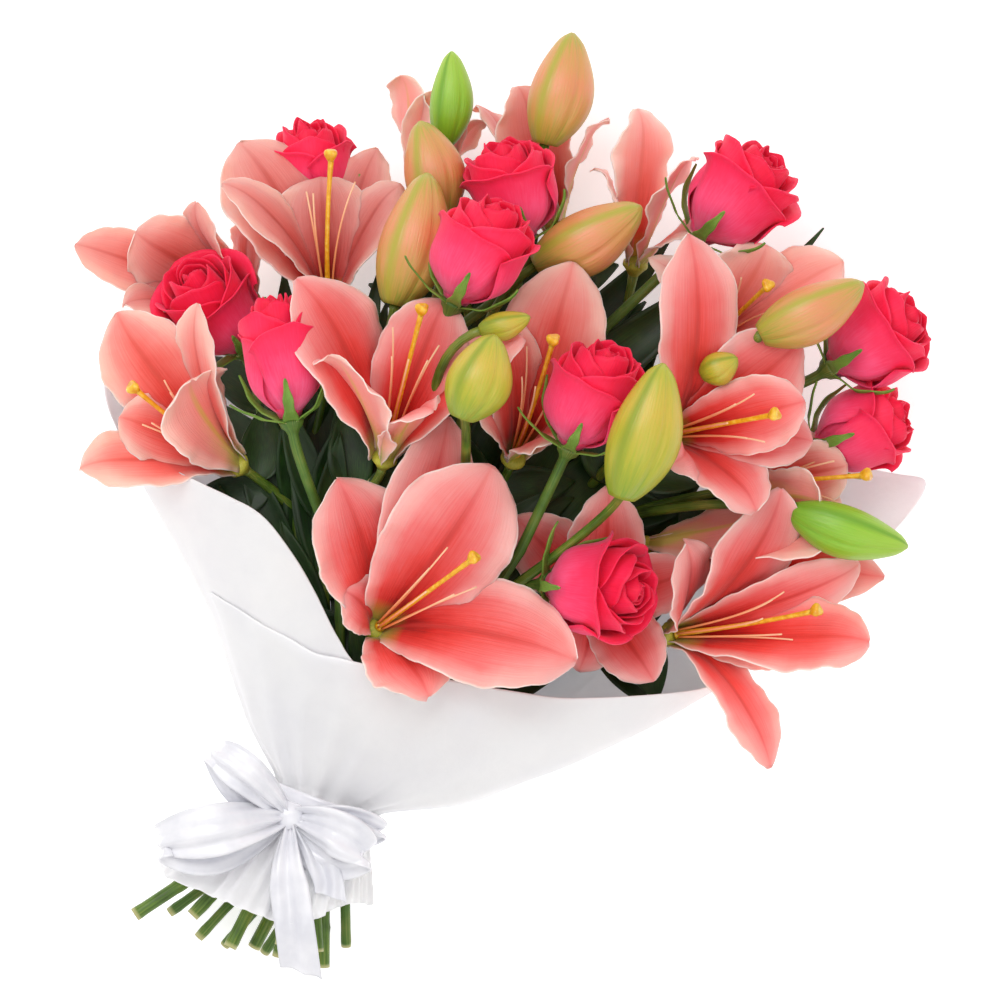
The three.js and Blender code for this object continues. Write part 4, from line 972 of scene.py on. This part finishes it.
def pedicel_leaves(start, end, number):
    """Leaves that stand off a pedicel to either side and lie under its bloom."""
    way = end - start
    sideways = way.cross(UP).normalized()
    leaves = []
    for k, at in enumerate(PEDICEL_LEAVES):
        turn = 1 if (k + number) % 2 else -1
        foot = start + way * at - UP * 2
        spread = PEDICEL_LEAF_SPREAD + 6 * math.sin(3 * number + k)
        tip = foot + way.normalized() * (PEDICEL_LEAF_REACH - 11 * k) + sideways * (turn * spread)
        tip.z = max(min(tip.z, end.z) - PEDICEL_LEAF_DROP, LOWEST_TIP)
        leaves.append(leaf(foot, tip, PEDICEL_LEAF_WIDTH))
    return leaves


for name, (slope, fork, cut, blooms, peach, green, leaves) in LILY_STEMS.items():
    line = stem_line(*slope)
    length = fork - cut + STEM_BELOW_TIE
    rods = [rod_of((line(cut - STEM_BELOW_TIE), line(fork)), 90, 16,
                   lambda t: LILY_STEM_RADIUS * knuckle(t * length + fork))]
    blades = []
    for bloom in blooms:
        base, axis = throat_of(bloom)
        seat = base - axis * (RECEPTACLE_DEPTH + GAP)
        rods.append(pedicel(line(fork), seat, Vector(ARRIVALS.get(bloom, axis)).normalized()))
        blades += pedicel_leaves(line(fork), seat, len(blades))
    for places, names, sink in ((PEACH_BUDS, peach, -GAP), (GREEN_BUDS, green, BUD_SINK)):
        for key in names:
            base, tip, width, arrive = places[key]
            axis = (Vector(tip) - Vector(base)).normalized()
            seat = Vector(base) + axis * sink
            rods.append(pedicel(line(fork), seat, Vector(arrive or axis).normalized()))
    parts = [joined(rods, f"lily_stem_{name}_rods", lily_stem_skin)]
    for key in green:
        skin = bright_bud_skin if key in BRIGHT_BUDS else green_bud_skin
        parts.append(joined([bud(*GREEN_BUDS[key][:3])], f"green_bud_{key}", skin))
    # The florist leaves the foliage on above the tie: it grows in a spiral up the stem.
    blades += [leaf(line(at), tip, width) for at, tip, width in leaves]
    for k in range(LEAVES_ON_STEM):
        at = min(mix(LOWEST_LEAF, fork + 20, k / (LEAVES_ON_STEM - 1)), fork)
        turn = LEAF_TURN * k + 2.1 * len(name)
        reach = LEAF_LENGTH * (0.85 + 0.15 * math.sin(5 * k))
        tip = line(at + 0.85 * reach) + SIDE * (0.42 * reach * math.cos(turn)) \
            + UP * (0.2 * reach * math.sin(turn))
        tip.z = max(tip.z, LOWEST_TIP)
        blades.append(leaf(line(at), tip, LEAF_WIDTH))
    # A whorl under the fork spreads low into the paper and closes the gaps between the blooms; its
    # dark leaves stand in there for the shade, as painted shade.
    for k in range(FAN_LEAVES):
        aim = min(max(slope[0] + FAN_STEP * (k - (FAN_LEAVES - 1) / 2), -0.55), 0.8)
        reach = FAN_REACH + 24 * math.sin(3 * k + len(name))
        tip = line(fork) + AXIS * reach + SIDE * (reach * (aim - 0.3 * slope[0]))
        tip.z = LOWEST_TIP + 12 + 9 * (k % 3)
        blades.append(leaf(line(fork - 34), tip, FAN_WIDTH))
    parts.append(joined(blades, f"foliage_{name}", leaf_and_shade_skin))
    stem = joined(parts, f"lily_stem_{name}_whole")
    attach(stem, "root")
    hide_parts(f"lily_stem_{name}")

# ---------------------------------------------------------------- rose stems
# Ten straight woody stems in the same spiral as the lilies'. Each bends under its head into a
# calyx cup with five narrow sepals.

ROSE_STEM_RADIUS = 3.2
NECK_LENGTH = 70
CALYX_NECK_RADIUS = 6.5
SEPAL_HALF_WIDTH = 4.5
SEPAL_THICKNESS = 0.0008
STEM_RINGS = 70
BEND_RINGS = 8

rose_stem_skin = plant_skin("rose stem skin", "#2F4817", "#4F7327", "#8C8C44", 0.5)
sepal_skin = plant_skin("rose sepal skin", "#4C7326", "#6E9636", "#93B054", 0.55)

for name, (base, top, width, _, slope, cut) in ROSES.items():
    base, axis, _, right, front = rose_frame(base, top)
    seat = base - axis * GAP
    line = stem_line(*slope)
    neck = line((base - TIE).dot(AXIS) - NECK_LENGTH)
    straight = (line(1) - line(0)).normalized()
    bend = (neck, base - axis * 26, base - axis * 10)
    foot = line(cut - STEM_BELOW_TIE)
    rings = []
    for k in range(STEM_RINGS):
        t = k / STEM_RINGS
        radius = ROSE_STEM_RADIUS * knuckle((neck - foot).length * t)
        rings.append((foot.lerp(neck, t), straight, radius))
    for k in range(BEND_RINGS + 1):
        t = k / BEND_RINGS
        rings.append((bezier(bend, t), heading(bend, t), ROSE_STEM_RADIUS))
    for along, radius in ((-7, 4.4), (-5, CALYX_NECK_RADIUS), (-2.5, CALYX_NECK_RADIUS + 1),
                          (0, 0.15 * width + 1.5)):
        rings.append((seat + axis * along, axis, radius))
    rod = joined([tube_of(rings, 18)], f"rose_stem_{name}_rod", rose_stem_skin)
    sepals = []
    for k in range(5):
        # Three outer sepals, then two between them. The second one droops.
        angle = 0.5 + 2 * math.pi * k / 3 + (math.pi / 3 if k > 2 else 0)
        out = right * math.cos(angle) + front * math.sin(angle)
        across = axis.cross(out)
        rise, stand = (18, 16) if k == 1 else (30, 6)

        def surface(u, t):
            x = 2 * u - 1
            half = SEPAL_HALF_WIDTH * max(0.06, (1 - t) ** 0.6) * (1 + 0.15 * math.sin(14 * t))
            reach = width / 2 * rose_profile(0.6 * t) + 2.6 + stand * t * t
            bow = 0.9 * x * x + 0.5 * math.sin(9 * t + k)
            return seat + axis * (rise * t - 1.5) + across * (half * x) \
                + out * (mix(3, reach, min(1, 3 * t + 0.3)) + bow)

        sepals.append(grid_of(6, 18, surface))
    calyx = joined(sepals, f"rose_sepals_{name}", sepal_skin)
    modify(calyx, "SOLIDIFY", thickness=SEPAL_THICKNESS, offset=0)
    stem = joined([rod, calyx], f"rose_stem_{name}_whole")
    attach(stem, "root")
    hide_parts(f"rose_stem_{name}")

# ---------------------------------------------------------------- ribbon
# White satin ribbon: a flat band drawn tight round the paper's gathers, and a bow of loops and
# two cut tails tied over it. Woven silk-like cloth, pulled into long soft folds at the knot.

BAND_RADIUS = 34.1
BAND_LIFT = 0.9
BAND_WIDTH = 13
BAND_THICKNESS = 0.0008
BOW_THICKNESS = 0.0006
KNOT = (-19, -3, 98)
KNOT_RINGS = ((-2.4, 6), (-1, 8.4), (2, 9.5), (5, 8.6), (8, 5))
KNOT_REACH = 0.3
FOLD_ROUNDING = 0.42
GATHER = 2.3
SOFT_FOLD = 1.5
CROWN = 2.5
# Each strip's line, the way its width lies, and its width.
LOOPS = [
    ([KNOT, (-58, -10, 128), (-94, -18, 120), (-62, -22, 110), KNOT], (-0.3, 1, 0.2), 38),
    ([KNOT, (-44, 22, 128), (-62, 34, 122), (-42, 10, 114), KNOT], (0.7, 0.7, 0.3), 30),
    ([KNOT, (8, -12, 122), (28, -26, 112), (0, -26, 104), KNOT], (0.3, 1, 0.2), 34),
    ([KNOT, (14, -4, 112), (38, -12, 102), (16, -14, 98), KNOT], (0.2, 1, 0), 18),
]
TAILS = [
    ([KNOT, (-20, -34, 116), (-16, -66, 112), (-12, -98, 96)], (1, 0, 0.15), 24),
    ([KNOT, (-4, -24, 108), (4, -40, 107), (6, -52, 106)], (1, 0.2, 0), 18),
]


def spline(points, t):
    """A smooth curve through its points (Catmull-Rom)."""
    points = [Vector(p) for p in points]
    k = min(int(t * (len(points) - 1)), len(points) - 2)
    f = t * (len(points) - 1) - k
    b, c = points[k], points[k + 1]
    a = points[k - 1] if k else b + b - c
    d = points[k + 2] if k + 2 < len(points) else c + c - b
    return 0.5 * (2 * b + (c - a) * f + (2 * a - 5 * b + 4 * c - d) * f * f
                  + (3 * b - a - 3 * c + d) * f ** 3)


def ribbon_strip(points, across, width, closed):
    """A strip on a line: gathered at the knot, rounded at a loop's fold, cut aslant at a tail."""
    broad = Vector(across).normalized()

    def surface(u, t):
        x = 2 * u - 1
        rounding = 1 - FOLD_ROUNDING * math.exp(-(((t - 0.5) / 0.14) ** 2))
        pinch = math.sin(math.pi * t) ** 0.5 * rounding if closed else min(1, t * 2.2) ** 0.7
        half = width / 2 * max(0.18, pinch)
        tangent = heading(points, t, curve=spline)
        side = (broad - tangent * broad.dot(tangent)).normalized()
        normal = side.cross(tangent)
        near_knot = math.exp(-t / KNOT_REACH) + (math.exp(-(1 - t) / KNOT_REACH) if closed else 0)
        gather = GATHER * near_knot * math.cos(9 * x + 1.3) + SOFT_FOLD * math.sin(5 * x + 4 * t)
        fold = CROWN * (1 - abs(x)) * (1 - 0.5 * t) + gather
        slant = 0 if closed else 50 * x * max(0, t - 0.9)
        return spline(points, t) + side * (half * x) + normal * fold + tangent * slant

    return grid_of(16, 72, surface)


def band_surface(u, t):
    """The band's one turn round the tie."""
    turn = 2 * math.pi * u
    radius = BAND_RADIUS + BAND_LIFT + 0.15 * math.sin(14 * t)
    outward = SIDE * math.cos(turn) + UP * math.sin(turn)
    return TIE + AXIS * (BAND_WIDTH * (t - 0.5)) + outward * radius


band = merged(grid_of(96, 6, band_surface))
modify(band, "SOLIDIFY", thickness=BAND_THICKNESS, offset=0)
band = joined([band], "ribbon_band_cloth")

strips = [ribbon_strip(*loop, True) for loop in LOOPS]
strips += [ribbon_strip(*tail, False) for tail in TAILS]
cloth = joined(strips, "ribbon_bow_strips")
modify(cloth, "SOLIDIFY", thickness=BOW_THICKNESS, offset=0)
knot = tube_of([(Vector(KNOT) + UP * z, UP, radius) for z, radius in KNOT_RINGS],
               36, lambda angle, t: 0.94 + 0.06 * math.cos(5 * angle + 3 * t))
bow = joined([cloth, knot], "ribbon_bow_cloth")

# Satin: white woven silk-like cloth whose long floats, 0.1 mm apart, reflect in streaks, with
# soft grey drifts of 20 mm.
satin, tree, shader = finish_of(
    "white satin ribbon", Roughness=0.24, Coat_Weight=0.4, Coat_Roughness=0.22,
    Specular_IOR_Level=0.8, Anisotropic=0.6, Sheen_Weight=0.2, Sheen_Roughness=0.3,
    Subsurface_Weight=0.05, Subsurface_Scale=0.002, Subsurface_Radius=(1.0, 1.0, 1.0))
uv = put(tree, "UVMap")
place = put(tree, "TexCoord", out="Object")
stretched = put(tree, "Mapping", {"Vector": uv, "Scale": (60.0, 4.0, 1.0)})
floats = put(tree, "TexNoise", {"Vector": stretched, "Scale": 5.0, "Detail": 2.0})
soft = put(tree, "TexNoise", {"Vector": place, "Scale": 50.0, "Detail": 3.0})
tone = put(tree, "ValToRGB", {"Fac": soft}, [(0.3, "#D8D9E1"), (0.65, "#ECECF1")])
wire(tree, shader, tone, (floats, 0.15, 0.0003))
for piece, node in ((band, "ribbon_band"), (bow, "ribbon_bow")):
    piece.data.materials.append(satin)
    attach(piece, "root")
    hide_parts(node)
